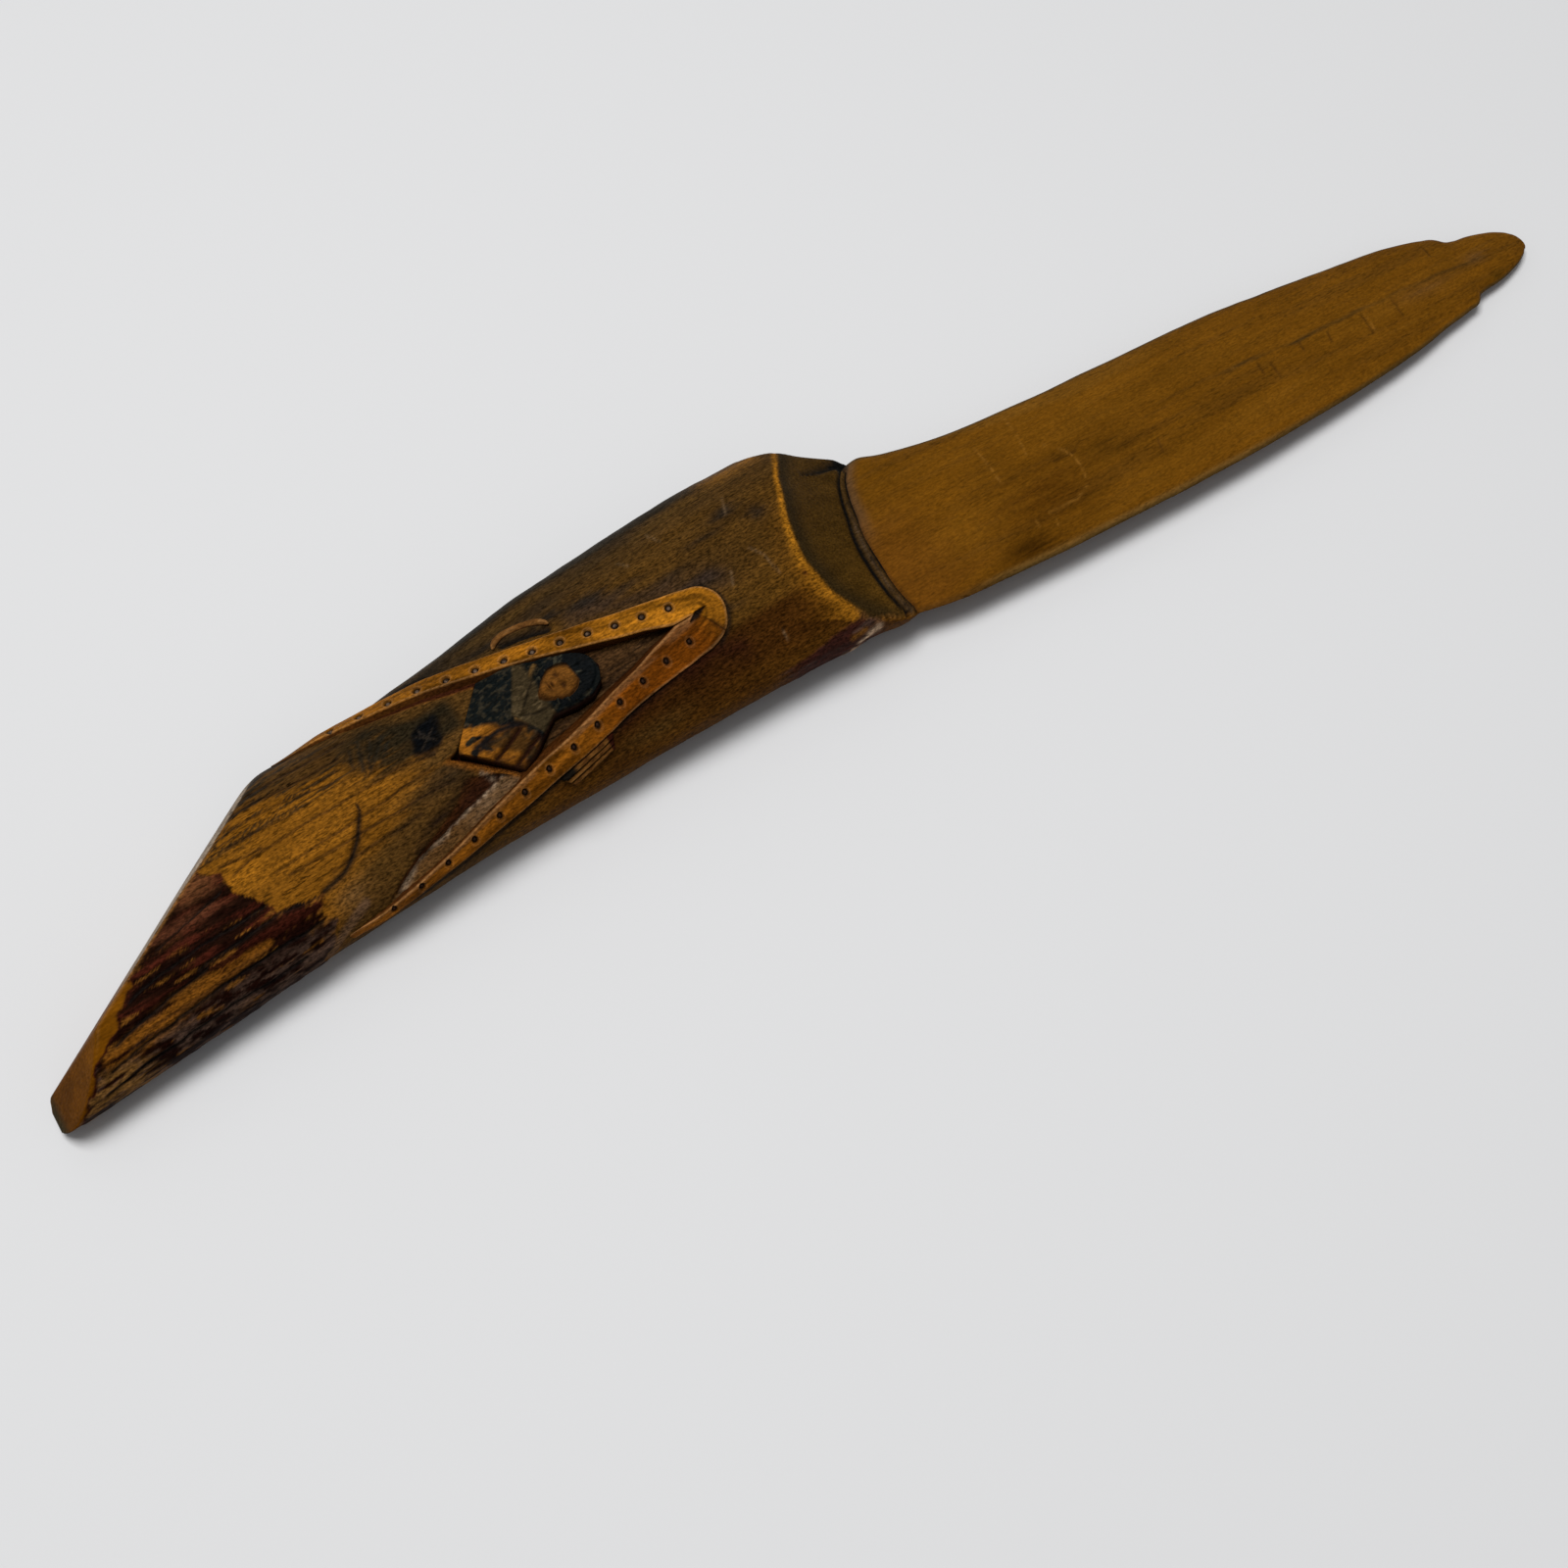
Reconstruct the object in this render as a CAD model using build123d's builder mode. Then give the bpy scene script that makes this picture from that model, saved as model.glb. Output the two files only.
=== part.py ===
"""Letter opener of carved wood: a branch handle, a scarfed blade, two pinned strips and an inset figure.

Millimetres. +X runs from the handle's butt to the blade's tip and +Z is up.
The flat underside lies on Z = 0.
"""

import os
from math import atan2, cos, degrees, radians, sin

from build123d import *

os.makedirs("parts", exist_ok=True)

# Lengths along the knife, on either side of the seam where the blade leaves the handle
handle_length = 130.0
blade_length = 118.4
butt_x = -(handle_length + blade_length) / 2
seam_x = butt_x + handle_length
tip_x = seam_x + blade_length

# The branch that the handle is cut from, at four places: its width, sideways offset and top
waist_before_seam = 70.0
shoulder_before_seam = 10.0
neck_past_seam = 20.0
butt_width, butt_offset, butt_top = 30.0, -0.8, 13.2
waist_width, waist_offset, waist_top = 26.6, 0.5, 15.0
shoulder_width, shoulder_offset, shoulder_top = 33.0, 2.5, 16.5
neck_width, neck_offset, neck_top = 34.0, 2.2, 16.5
planed_off = 2.5

# The slanting cut across the butt: its angle to the knife, its lean and where it crosses the crest
butt_cut_angle = 33.0
butt_cut_lean = 26.0
butt_cut_setback = 26.0

# The bevel that thins the end of the butt to an edge, and where that edge lies
butt_bevel_angle = 73.3
butt_bevel_lean = 38.6
butt_edge_side, butt_edge_height = -13.2, 1.5

# The collar: a scooped slope, turned across the knife, from the crest down to the blade and under it
collar_turn = -13.4
collar_run = 10.6
collar_scoop = 0.5
underside_run = 4.0
neck_cut_angle = 36.5
neck_cut_past_seam = 5.6

# The blade: widths and sideways offsets along it, heights of its lens section, and its tang
blade_root_width, blade_root_offset = 26.4, -2.3
blade_waist_width, blade_waist_offset, blade_waist_past_seam = 24.8, -5.8, 26.5
blade_belly_width, blade_belly_offset, blade_belly_past_seam = 24.9, -7.1, 60.0
blade_fore_width, blade_fore_offset, blade_fore_before_tip = 20.1, -8.6, 28.4
blade_nose_width, blade_nose_offset, blade_nose_before_tip = 12.4, -9.8, 11.4
blade_root_top, blade_root_under = 8.0, 3.0
blade_belly_top, blade_belly_under = 6.6, 2.0
blade_tip_top, blade_tip_under = 2.6, 0.4
blade_edge = 1.2
tip_offset = -11.3
tip_shoulder_setback, tip_shoulder_rise = 4.4, 4.6
tip_heel_setback, tip_heel_drop = 4.6, 3.0
tip_notch = 0.9
tang_length, tang_width, tang_thickness = 32.0, 12.0, 3.0

# The two strips: angles around the branch at nose, middle and tail, and widths there
strip_nose_before_seam = 27.3
upper_strip_length = 48.7
lower_strip_length = 61.7
upper_nose_angle, upper_middle_angle, upper_tail_angle = -22.0, 25.0, 72.0
lower_nose_angle, lower_middle_angle, lower_tail_angle = -43.0, -65.0, -86.0
upper_tilt = 30.0
lower_tilt = -60.0
upper_nose_width, upper_middle_width, upper_tail_width = 3.6, 3.0, 1.8
lower_nose_width, lower_middle_width, lower_tail_width = 3.6, 3.0, 2.0
strip_proud = 0.7
strip_bed = 1.0
slot_length, slot_width, slot_turn, slot_from_nose = 3.2, 1.0, 14.0, 0.6

# The pins through the strips
pin_count = 13
pin_diameter = 1.2
pin_length = 4.0
first_pin_from_nose = 4.0
last_pin_from_tail = 2.0

# The sunk panel between the strips: a kite from its apex to the point under the figure's coat
panel_depth = 1.6
panel_apex_from_nose, panel_apex_side, panel_apex_width = 2.0, -5.0, 3.0
panel_corner_from_nose, panel_upper_side, panel_lower_side = 30.7, 5.2, -10.6
panel_point_from_nose, panel_point_side = 37.4, -3.8

# The figure in the panel: coat, shirt collar and head, each raised a little further
coat_gap = 0.3
coat_neck_from_nose, coat_neck_width, coat_neck_side = 23.3, 6.0, -3.2
coat_proud = 0.3
shirt_from_nose, shirt_length, shirt_width = 23.0, 6.0, 6.0
shirt_proud = 0.6
head_from_nose, head_side, head_length, head_width = 19.7, -3.4, 8.2, 6.6
head_proud = 1.2

# The hands that hold the strips from outside, with finger grooves on the lower one
hand_from_nose, hand_length, hand_reach = 23.0, 8.0, 2.6
hand_round = 1.0
hand_proud = 0.5
finger_count = 3
finger_groove_width, finger_groove_depth = 0.5, 0.4

# Fit of the glued joints and of the pins in their holes
glue_line = 0.05

waist_x = seam_x - waist_before_seam
shoulder_x = seam_x - shoulder_before_seam
neck_x = seam_x + neck_past_seam
strip_nose_x = seam_x - strip_nose_before_seam
stations = [
    (butt_x, butt_offset, butt_width, butt_top),
    (waist_x, waist_offset, waist_width, waist_top),
    (shoulder_x, shoulder_offset, shoulder_width, shoulder_top),
    (neck_x, neck_offset, neck_width, neck_top),
]
reach = handle_length + blade_length


def branch(growth):
    """The round branch through its four sections, with its skin moved out by growth."""
    with BuildPart() as wood:
        for x, offset, width, top in stations:
            with BuildSketch(Plane.YZ.offset(x)):
                with Locations((offset, (top - planed_off) / 2)):
                    Ellipse(width / 2 + growth, (top + planed_off) / 2 + growth)
        loft()
    return wood.part


def heart(x):
    """The middle of the branch at x, on straight lines between its sections."""
    for (x0, offset0, _, top0), (x1, offset1, _, top1) in zip(stations, stations[1:]):
        if x <= x1 or x1 == neck_x:
            share = (x - x0) / (x1 - x0)
            offset = offset0 + share * (offset1 - offset0)
            top = top0 + share * (top1 - top0)
            return Vector(x, offset, (top - planed_off) / 2)


def from_nose(distance, side):
    """A point in plan, by its distance behind the strips' nose and to the side of the branch's middle."""
    x = strip_nose_x - distance
    return x, heart(x).Y + side


def skin_hit(start, direction):
    """The last point where a line leaves the strips' skin, and the outward normal there."""
    hits = strip_skin.find_intersection_points(Axis(start, direction))
    point, normal = max(hits, key=lambda hit: (hit[0] - start).dot(direction))
    return point, normal if normal.dot(direction) > 0 else -normal


def facing(tilt):
    """A drawing plane through the branch, turned about the knife's length to face one flank."""
    normal = (0, sin(radians(tilt)), cos(radians(tilt)))
    return Plane(origin=heart(waist_x), x_dir=(1, 0, 0), z_dir=normal)


def strip_line(tilt, angles, tail_x):
    """Nose, middle and tail of a strip on its drawing plane, from angles around the branch."""
    points = []
    for x, angle in zip((strip_nose_x, (strip_nose_x + tail_x) / 2, tail_x), angles):
        point, _ = skin_hit(heart(x), Vector(0, sin(radians(angle)), cos(radians(angle))))
        local = facing(tilt).to_local_coords(point)
        points.append(Vector(local.X, local.Y))
    return points


def strip_blank(tilt, line, widths, spread):
    """A tapering strip with a round nose, drawn up from its plane and widened by spread."""
    half = [width / 2 + spread for width in widths]
    over = [point + Vector(0, side) for point, side in zip(line, half)]
    under = [point - Vector(0, side) for point, side in zip(line, half)]
    with BuildPart() as blank:
        with BuildSketch(facing(tilt)):
            with BuildLine():
                ThreePointArc(*over)
                Line(over[2], under[2])
                ThreePointArc(*reversed(under))
                ThreePointArc(under[0], line[0] + Vector(half[0], 0), over[0])
            make_face()
        extrude(amount=reach)
    return blank.part


def plan_blank(*points):
    """A straight-sided outline in plan, drawn up through the branch."""
    with BuildPart() as blank:
        with BuildSketch(Plane.XY.offset(heart(waist_x).Z)):
            Polygon(*points, align=None)
        extrude(amount=reach)
    return blank.part


def inlay(blank, proud, bed, *neighbours):
    """What a blank leaves between a raised skin and a sunk bed, beside its neighbours."""
    with BuildPart() as piece:
        add(blank)
        add(branch(proud), mode=Mode.INTERSECT)
        add(branch(-bed), mode=Mode.SUBTRACT)
        for neighbour in neighbours:
            add(neighbour, mode=Mode.SUBTRACT)
    return piece.part


def pin_planes(tilt, line):
    """One plane for each pin, at the strip's surface along its middle line, facing out."""
    middle_line = ThreePointArc(*line, mode=Mode.PRIVATE)
    first = first_pin_from_nose / middle_line.length
    last = 1 - last_pin_from_tail / middle_line.length
    planes = []
    for number in range(pin_count):
        share = first + (last - first) * number / (pin_count - 1)
        spot = facing(tilt).from_local_coords(middle_line @ share)
        point, normal = skin_hit(spot, facing(tilt).z_dir)
        planes.append(Plane(origin=point, z_dir=normal))
    return planes


def pin_holes(planes):
    """Cutters for the pins' holes, a glue line wider and deeper than the pins."""
    with BuildPart() as holes:
        with Locations(*planes):
            Cylinder(pin_diameter / 2 + glue_line, 2 * (pin_length + glue_line))
    return holes.part


def saw_plane(point, angle, lean):
    """A cut through a point, at an angle to the knife's length and leaning back from upright."""
    turned, leaning = radians(angle), radians(lean)
    across = cos(leaning)
    return Plane(origin=point, z_dir=(-sin(turned) * across, cos(turned) * across, sin(leaning)))


def hand_spot(line):
    """Where a hand crosses a strip's middle line on the drawing plane, turned to follow it."""
    middle_line = ThreePointArc(*line, mode=Mode.PRIVATE)
    share = hand_from_nose / middle_line.length
    place, along = middle_line @ share, middle_line % share
    return Location((place.X, place.Y, 0), (0, 0, degrees(atan2(-along.Y, -along.X))))


def hand_blank(tilt, line, widths, side, spread):
    """A rounded block from a strip's middle line past its outer edge, on the side given as 1 or -1."""
    depth = widths[1] / 2 + hand_reach + spread
    with BuildPart() as blank:
        with BuildSketch(facing(tilt)):
            with Locations(hand_spot(line)):
                with Locations((0, side * depth / 2)):
                    RectangleRounded(hand_length + 2 * spread, depth, hand_round)
        extrude(amount=reach)
    return blank.part


def finger_blank(tilt, line, widths, side):
    """The grooves between the fingers, side by side along a hand."""
    pitch = hand_reach / finger_count
    with BuildPart() as blank:
        with BuildSketch(facing(tilt)):
            with Locations(hand_spot(line)):
                for number in range(1, finger_count):
                    with Locations((0, side * (widths[1] / 2 + number * pitch))):
                        Rectangle(hand_length, finger_groove_width)
        extrude(amount=reach)
    return blank.part


# Places of the strips and pins on the skin of the branch
strip_skin = branch(strip_proud).faces().sort_by(SortBy.AREA)[-1]
upper_angles = (upper_nose_angle, upper_middle_angle, upper_tail_angle)
lower_angles = (lower_nose_angle, lower_middle_angle, lower_tail_angle)
upper_line = strip_line(upper_tilt, upper_angles, strip_nose_x - upper_strip_length)
lower_line = strip_line(lower_tilt, lower_angles, strip_nose_x - lower_strip_length)
upper_pin_planes = pin_planes(upper_tilt, upper_line)
lower_pin_planes = pin_planes(lower_tilt, lower_line)
upper_widths = (upper_nose_width, upper_middle_width, upper_tail_width)
lower_widths = (lower_nose_width, lower_middle_width, lower_tail_width)
upper_blank = strip_blank(upper_tilt, upper_line, upper_widths, 0)
lower_blank = strip_blank(lower_tilt, lower_line, lower_widths, 0)
upper_bed = strip_blank(upper_tilt, upper_line, upper_widths, glue_line)
lower_bed = strip_blank(lower_tilt, lower_line, lower_widths, glue_line)

# Collar drawing: x runs down the slope from the seam and y is up; the slope goes on under the blade
turn = radians(collar_turn)
collar_plane = Plane(
    origin=(seam_x, 0, 0),
    x_dir=(cos(turn), sin(turn), 0),
    z_dir=(sin(turn), -cos(turn), 0),
)
crest = Vector(-collar_run, shoulder_top)
seam = Vector(0, blade_root_top)
down_slope = (seam - crest).normalized()
off_slope = Vector(-down_slope.Y, down_slope.X)
toe = seam + down_slope * ((blade_root_under - blade_root_top) / down_slope.Y)
beyond_crest = crest - down_slope * shoulder_top
heel = Vector(toe.X - underside_run, 0)

# Upper strip: the longer nose of the pair, with a leaf-shaped slot cut through it
with BuildPart() as upper_strip:
    add(inlay(upper_blank, strip_proud, strip_bed))
    slot_place = upper_line[0] - Vector(slot_from_nose, 0)
    with BuildSketch(facing(upper_tilt)):
        with Locations(Location((slot_place.X, slot_place.Y, 0), (0, 0, slot_turn))):
            with BuildLine():
                ThreePointArc((-slot_length / 2, 0), (0, slot_width / 2), (slot_length / 2, 0))
                ThreePointArc((slot_length / 2, 0), (0, -slot_width / 2), (-slot_length / 2, 0))
            make_face()
    extrude(amount=reach, mode=Mode.SUBTRACT)
    add(pin_holes(upper_pin_planes), mode=Mode.SUBTRACT)
upper_strip.part.label = "upper_strip"
export_step(upper_strip.part, "parts/upper_strip.step")

# Lower strip: butted against the upper one at the nose
with BuildPart() as lower_strip:
    add(inlay(lower_blank, strip_proud, strip_bed, upper_bed))
    add(pin_holes(lower_pin_planes), mode=Mode.SUBTRACT)
lower_strip.part.label = "lower_strip"
export_step(lower_strip.part, "parts/lower_strip.step")

# Pins: driven square to the surface, heads level with the strips
with BuildPart() as upper_strip_pins:
    with Locations(*upper_pin_planes):
        Cylinder(pin_diameter / 2, pin_length, align=(Align.CENTER, Align.CENTER, Align.MAX))
upper_strip_pins.part.label = "upper_strip_pins"
export_step(upper_strip_pins.part, "parts/upper_strip_pins.step")

with BuildPart() as lower_strip_pins:
    with Locations(*lower_pin_planes):
        Cylinder(pin_diameter / 2, pin_length, align=(Align.CENTER, Align.CENTER, Align.MAX))
lower_strip_pins.part.label = "lower_strip_pins"
export_step(lower_strip_pins.part, "parts/lower_strip_pins.step")

# Figure: a half-length figure in a coat, carved from its own block and set on the panel's floor
figure_bed = panel_depth - glue_line
coat_blank = plan_blank(
    from_nose(panel_corner_from_nose - coat_gap, panel_upper_side - coat_gap),
    from_nose(panel_point_from_nose - coat_gap, panel_point_side),
    from_nose(panel_corner_from_nose - coat_gap, panel_lower_side + coat_gap),
    from_nose(coat_neck_from_nose, coat_neck_side - coat_neck_width / 2),
    from_nose(coat_neck_from_nose, coat_neck_side + coat_neck_width / 2),
)
shirt_blank = plan_blank(
    from_nose(shirt_from_nose, coat_neck_side + shirt_width / 2),
    from_nose(shirt_from_nose + shirt_length, coat_neck_side),
    from_nose(shirt_from_nose, coat_neck_side - shirt_width / 2),
)
with BuildPart() as head_blank:
    with BuildSketch(Plane.XY.offset(heart(waist_x).Z)):
        with Locations(from_nose(head_from_nose, head_side)):
            Ellipse(head_length / 2, head_width / 2)
    extrude(amount=reach)
with BuildPart() as figure:
    add(inlay(coat_blank, coat_proud, figure_bed, upper_bed, lower_bed))
    add(inlay(shirt_blank, shirt_proud, figure_bed, upper_bed, lower_bed))
    add(inlay(head_blank.part, head_proud, figure_bed, upper_bed, lower_bed))
figure.part.label = "figure"
export_step(figure.part, "parts/figure.step")

# Hands: one outside each strip, let into the branch as deep as the strips
with BuildPart() as upper_hand:
    add(inlay(hand_blank(upper_tilt, upper_line, upper_widths, 1, 0), hand_proud, strip_bed, upper_bed))
upper_hand.part.label = "upper_hand"
export_step(upper_hand.part, "parts/upper_hand.step")

with BuildPart() as lower_hand:
    add(inlay(hand_blank(lower_tilt, lower_line, lower_widths, -1, 0), hand_proud, strip_bed, lower_bed))
    fingers = finger_blank(lower_tilt, lower_line, lower_widths, -1)
    add(inlay(fingers, strip_proud, finger_groove_depth - hand_proud), mode=Mode.SUBTRACT)
lower_hand.part.label = "lower_hand"
export_step(lower_hand.part, "parts/lower_hand.step")

# Blade: a lens section through three places, trimmed to its outline, scarfed at the root, with a tang
belly_x = seam_x + blade_belly_past_seam
blade_sections = [
    (seam_x - collar_run, blade_root_offset, blade_root_width, blade_root_top, blade_root_under),
    (belly_x, blade_belly_offset, blade_belly_width, blade_belly_top, blade_belly_under),
    (tip_x, blade_nose_offset, blade_nose_width, blade_tip_top, blade_tip_under),
]
blade_stations = [
    (seam_x - collar_run, blade_root_offset, blade_root_width),
    (seam_x, blade_root_offset, blade_root_width),
    (seam_x + blade_waist_past_seam, blade_waist_offset, blade_waist_width),
    (belly_x, blade_belly_offset, blade_belly_width),
    (tip_x - blade_fore_before_tip, blade_fore_offset, blade_fore_width),
    (tip_x - blade_nose_before_tip, blade_nose_offset, blade_nose_width),
]
far_edge = [(x, offset + width / 2) for x, offset, width in blade_stations]
near_edge = [(x, offset - width / 2) for x, offset, width in blade_stations]
nose_x = tip_x - blade_nose_before_tip
far_notch = (nose_x + tip_notch, blade_nose_offset + blade_nose_width / 2 - tip_notch)
near_notch = (nose_x + tip_notch, blade_nose_offset - blade_nose_width / 2 + tip_notch)
tip_curve = [
    near_notch,
    (tip_x - tip_heel_setback, tip_offset - tip_heel_drop),
    (tip_x, tip_offset),
    (tip_x - tip_shoulder_setback, tip_offset + tip_shoulder_rise),
    far_notch,
]
tang_height = (blade_root_top + blade_root_under) / 2
with BuildPart() as blade:
    for x, offset, width, top, under in blade_sections:
        half = width / 2 + blade_edge
        upper_edge = (top + under + blade_edge) / 2
        lower_edge = (top + under - blade_edge) / 2
        with BuildSketch(Plane.YZ.offset(x)):
            with BuildLine():
                ThreePointArc((offset - half, upper_edge), (offset, top), (offset + half, upper_edge))
                Line((offset + half, upper_edge), (offset + half, lower_edge))
                ThreePointArc((offset + half, lower_edge), (offset, under), (offset - half, lower_edge))
                Line((offset - half, lower_edge), (offset - half, upper_edge))
            make_face()
    loft()
    with BuildSketch(Plane.XY):
        with BuildLine():
            Spline(*near_edge)
            Line(near_edge[-1], near_notch)
            Spline(*tip_curve)
            Line(far_notch, far_edge[-1])
            Spline(*reversed(far_edge))
            Line(far_edge[0], near_edge[0])
        make_face()
    extrude(amount=reach, mode=Mode.INTERSECT)
    with BuildSketch(collar_plane):
        scarf = [seam - down_slope * reach, seam + down_slope * reach]
        behind = [point - off_slope * reach for point in reversed(scarf)]
        Polygon(*[point + off_slope * glue_line for point in scarf + behind], align=None)
    extrude(amount=reach, both=True, mode=Mode.SUBTRACT)
    with BuildSketch(Plane.YZ.offset(seam_x - tang_length)):
        with Locations((blade_root_offset, tang_height)):
            Rectangle(tang_width, tang_thickness)
    extrude(amount=tang_length + toe.X)
blade.part.label = "blade"
export_step(blade.part, "parts/blade.step")

# Handle: the branch planed flat below, cut across the butt, sloped at the collar, let in for every piece
crest_at_cut = heart(butt_x + butt_cut_setback)
butt_cut = saw_plane(
    (crest_at_cut.X, crest_at_cut.Y, 2 * crest_at_cut.Z + planed_off),
    butt_cut_angle,
    butt_cut_lean,
)
butt_bevel = saw_plane(
    (butt_x, butt_offset + butt_edge_side, butt_edge_height),
    butt_bevel_angle,
    butt_bevel_lean,
)
neck_turn = radians(neck_cut_angle)
neck_cut = Plane(
    origin=(seam_x + neck_cut_past_seam, blade_root_offset + blade_root_width / 2, 0),
    z_dir=(sin(neck_turn), cos(neck_turn), 0),
)
panel_blank = plan_blank(
    from_nose(panel_apex_from_nose, panel_apex_side - panel_apex_width / 2),
    from_nose(panel_apex_from_nose, panel_apex_side + panel_apex_width / 2),
    from_nose(panel_corner_from_nose, panel_upper_side),
    from_nose(panel_point_from_nose, panel_point_side),
    from_nose(panel_corner_from_nose, panel_lower_side),
)
bed_depth = strip_bed + glue_line
upper_hand_bed = hand_blank(upper_tilt, upper_line, upper_widths, 1, glue_line)
lower_hand_bed = hand_blank(lower_tilt, lower_line, lower_widths, -1, glue_line)
with BuildPart() as handle:
    add(branch(0))
    split(bisect_by=Plane.XY, keep=Keep.TOP)
    split(bisect_by=butt_cut, keep=Keep.BOTTOM)
    split(bisect_by=butt_bevel, keep=Keep.BOTTOM)
    split(bisect_by=neck_cut, keep=Keep.BOTTOM)
    with BuildSketch(collar_plane):
        with BuildLine():
            Line(beyond_crest, crest)
            ThreePointArc(crest, (crest + seam) / 2 - off_slope * collar_scoop, seam)
            Polyline(seam, toe, heel, (heel.X, -planed_off), (reach, -planed_off))
            Polyline((reach, -planed_off), (reach, beyond_crest.Y), beyond_crest)
        make_face()
    extrude(amount=reach, both=True, mode=Mode.SUBTRACT)
    add(inlay(panel_blank, strip_proud, panel_depth, upper_blank, lower_blank), mode=Mode.SUBTRACT)
    add(inlay(upper_bed, strip_proud, bed_depth), mode=Mode.SUBTRACT)
    add(inlay(lower_bed, strip_proud, bed_depth), mode=Mode.SUBTRACT)
    add(inlay(upper_hand_bed, strip_proud, bed_depth), mode=Mode.SUBTRACT)
    add(inlay(lower_hand_bed, strip_proud, bed_depth), mode=Mode.SUBTRACT)
    add(pin_holes(upper_pin_planes), mode=Mode.SUBTRACT)
    add(pin_holes(lower_pin_planes), mode=Mode.SUBTRACT)
    with BuildSketch(Plane.YZ.offset(seam_x - tang_length - glue_line)):
        with Locations((blade_root_offset, tang_height)):
            Rectangle(tang_width + 2 * glue_line, tang_thickness + 2 * glue_line)
    extrude(amount=reach, mode=Mode.SUBTRACT)
handle.part.label = "handle"
export_step(handle.part, "parts/handle.step")
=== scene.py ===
"""Looks of the carved wooden letter opener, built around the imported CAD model.

Metres in Blender. The formulas work in millimetres, and places along the knife run from the end of the butt.
"""

import bpy
import numpy as np
from mathutils import Matrix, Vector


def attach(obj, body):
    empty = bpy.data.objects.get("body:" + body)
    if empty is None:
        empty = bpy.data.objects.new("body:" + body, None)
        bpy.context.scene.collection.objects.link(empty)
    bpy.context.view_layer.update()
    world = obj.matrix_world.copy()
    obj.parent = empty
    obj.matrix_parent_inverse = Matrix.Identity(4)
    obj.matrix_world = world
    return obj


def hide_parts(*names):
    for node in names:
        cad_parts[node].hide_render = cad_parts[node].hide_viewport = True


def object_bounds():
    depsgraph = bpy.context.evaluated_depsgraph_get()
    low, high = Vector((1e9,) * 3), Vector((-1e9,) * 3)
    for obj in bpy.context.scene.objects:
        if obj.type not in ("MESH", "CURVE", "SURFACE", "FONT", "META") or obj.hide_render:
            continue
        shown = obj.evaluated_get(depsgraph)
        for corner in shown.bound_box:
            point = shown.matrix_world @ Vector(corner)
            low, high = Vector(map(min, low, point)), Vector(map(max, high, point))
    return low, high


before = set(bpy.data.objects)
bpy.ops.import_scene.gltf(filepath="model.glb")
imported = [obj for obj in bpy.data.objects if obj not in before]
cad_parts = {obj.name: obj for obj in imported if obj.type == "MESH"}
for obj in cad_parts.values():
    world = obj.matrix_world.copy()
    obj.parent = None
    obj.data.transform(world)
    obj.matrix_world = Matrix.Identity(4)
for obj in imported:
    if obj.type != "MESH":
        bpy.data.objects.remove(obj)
cad_low, cad_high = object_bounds()


# Handle: one trimmed branch, planed flat below, sawn at a slant across the butt and thinned there to an edge.
# A scooped slope runs down to the blade, bark is left near the butt, and a panel is sunk between the strips.
# Oiled and varnished fruit wood, dark with age, worn to honey on its ridges.
MM = 0.001
butt_x = cad_low.x / MM
handle_stations = (0.0, 60.0, 120.0, 150.0)
seam_at = 130.0
handle_end = 138.3


def smooth_run(at, places, values):
    """Cubic pieces through the values at the places, each slope taken from the neighbours on both sides."""
    places, values = np.asarray(places, float), np.asarray(values, float)
    slopes = np.gradient(values, places)
    at = np.clip(at, places[0], places[-1])
    low = np.clip(np.searchsorted(places, at) - 1, 0, len(places) - 2)
    step = places[low + 1] - places[low]
    t = (at - places[low]) / step
    return (
        (1 + 2 * t) * (1 - t) ** 2 * values[low]
        + t * (1 - t) ** 2 * step * slopes[low]
        + t * t * (3 - 2 * t) * values[low + 1]
        + t * t * (t - 1) * step * slopes[low + 1]
    )


def ramp(value, low, high):
    """0 below low, 1 above high, and a smooth S between them."""
    t = np.clip((value - low) / (high - low), 0, 1)
    return t * t * (3 - 2 * t)


def mix(a, b, share):
    """a where the share is 0, b where it is 1, and a straight blend between."""
    return a * (1 - share) + b * share


def soft_min(a, b, blend):
    """The smaller of two distances, with the edge between them rounded over the blend."""
    share = np.clip(0.5 + 0.5 * (b - a) / blend, 0, 1)
    return b + (a - b) * share - blend * share * (1 - share)


def cloud(a, b, seed, octaves=3):
    """Value noise from -1 to 1: a seeded lattice of random values, blended smoothly, in halving octaves."""
    lattice = np.random.default_rng(seed).random((64, 64)) * 2 - 1
    total, weight = 0.0, 0.0
    for octave in range(octaves):
        u, v = a * 2**octave + 7.3 * octave, b * 2**octave + 3.1 * octave
        i, j = np.floor(u).astype(int), np.floor(v).astype(int)
        fu, fv = ramp(u - i, 0, 1), ramp(v - j, 0, 1)
        row, col, next_row, next_col = i % 64, j % 64, (i + 1) % 64, (j + 1) % 64
        low = mix(lattice[row, col], lattice[next_row, col], fu)
        high = mix(lattice[row, next_col], lattice[next_row, next_col], fu)
        total = total + mix(low, high, fv) * 0.5**octave
        weight += 0.5**octave
    return total / weight


def to_line(a, b, line):
    """Distance in the plane from each point to a line of straight pieces."""
    nearest = np.full(np.shape(a), 1e9)
    for (a0, b0), (a1, b1) in zip(line, line[1:]):
        da, db = a1 - a0, b1 - b0
        t = np.clip(((a - a0) * da + (b - b0) * db) / (da * da + db * db), 0, 1)
        nearest = np.minimum(nearest, np.hypot(a - a0 - t * da, b - b0 - t * db))
    return nearest


def bell(value, width, power=2):
    """1 where the value is 0, falling off on both sides over the width, flatter on top for a higher power."""
    return np.exp(-((value / width) ** power))


def mark(a, b, width, *lines):
    """1 on the nearest of several lines in the plane, falling to nothing over the width."""
    return bell(np.min([to_line(a, b, line) for line in lines], 0), width)


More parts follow.
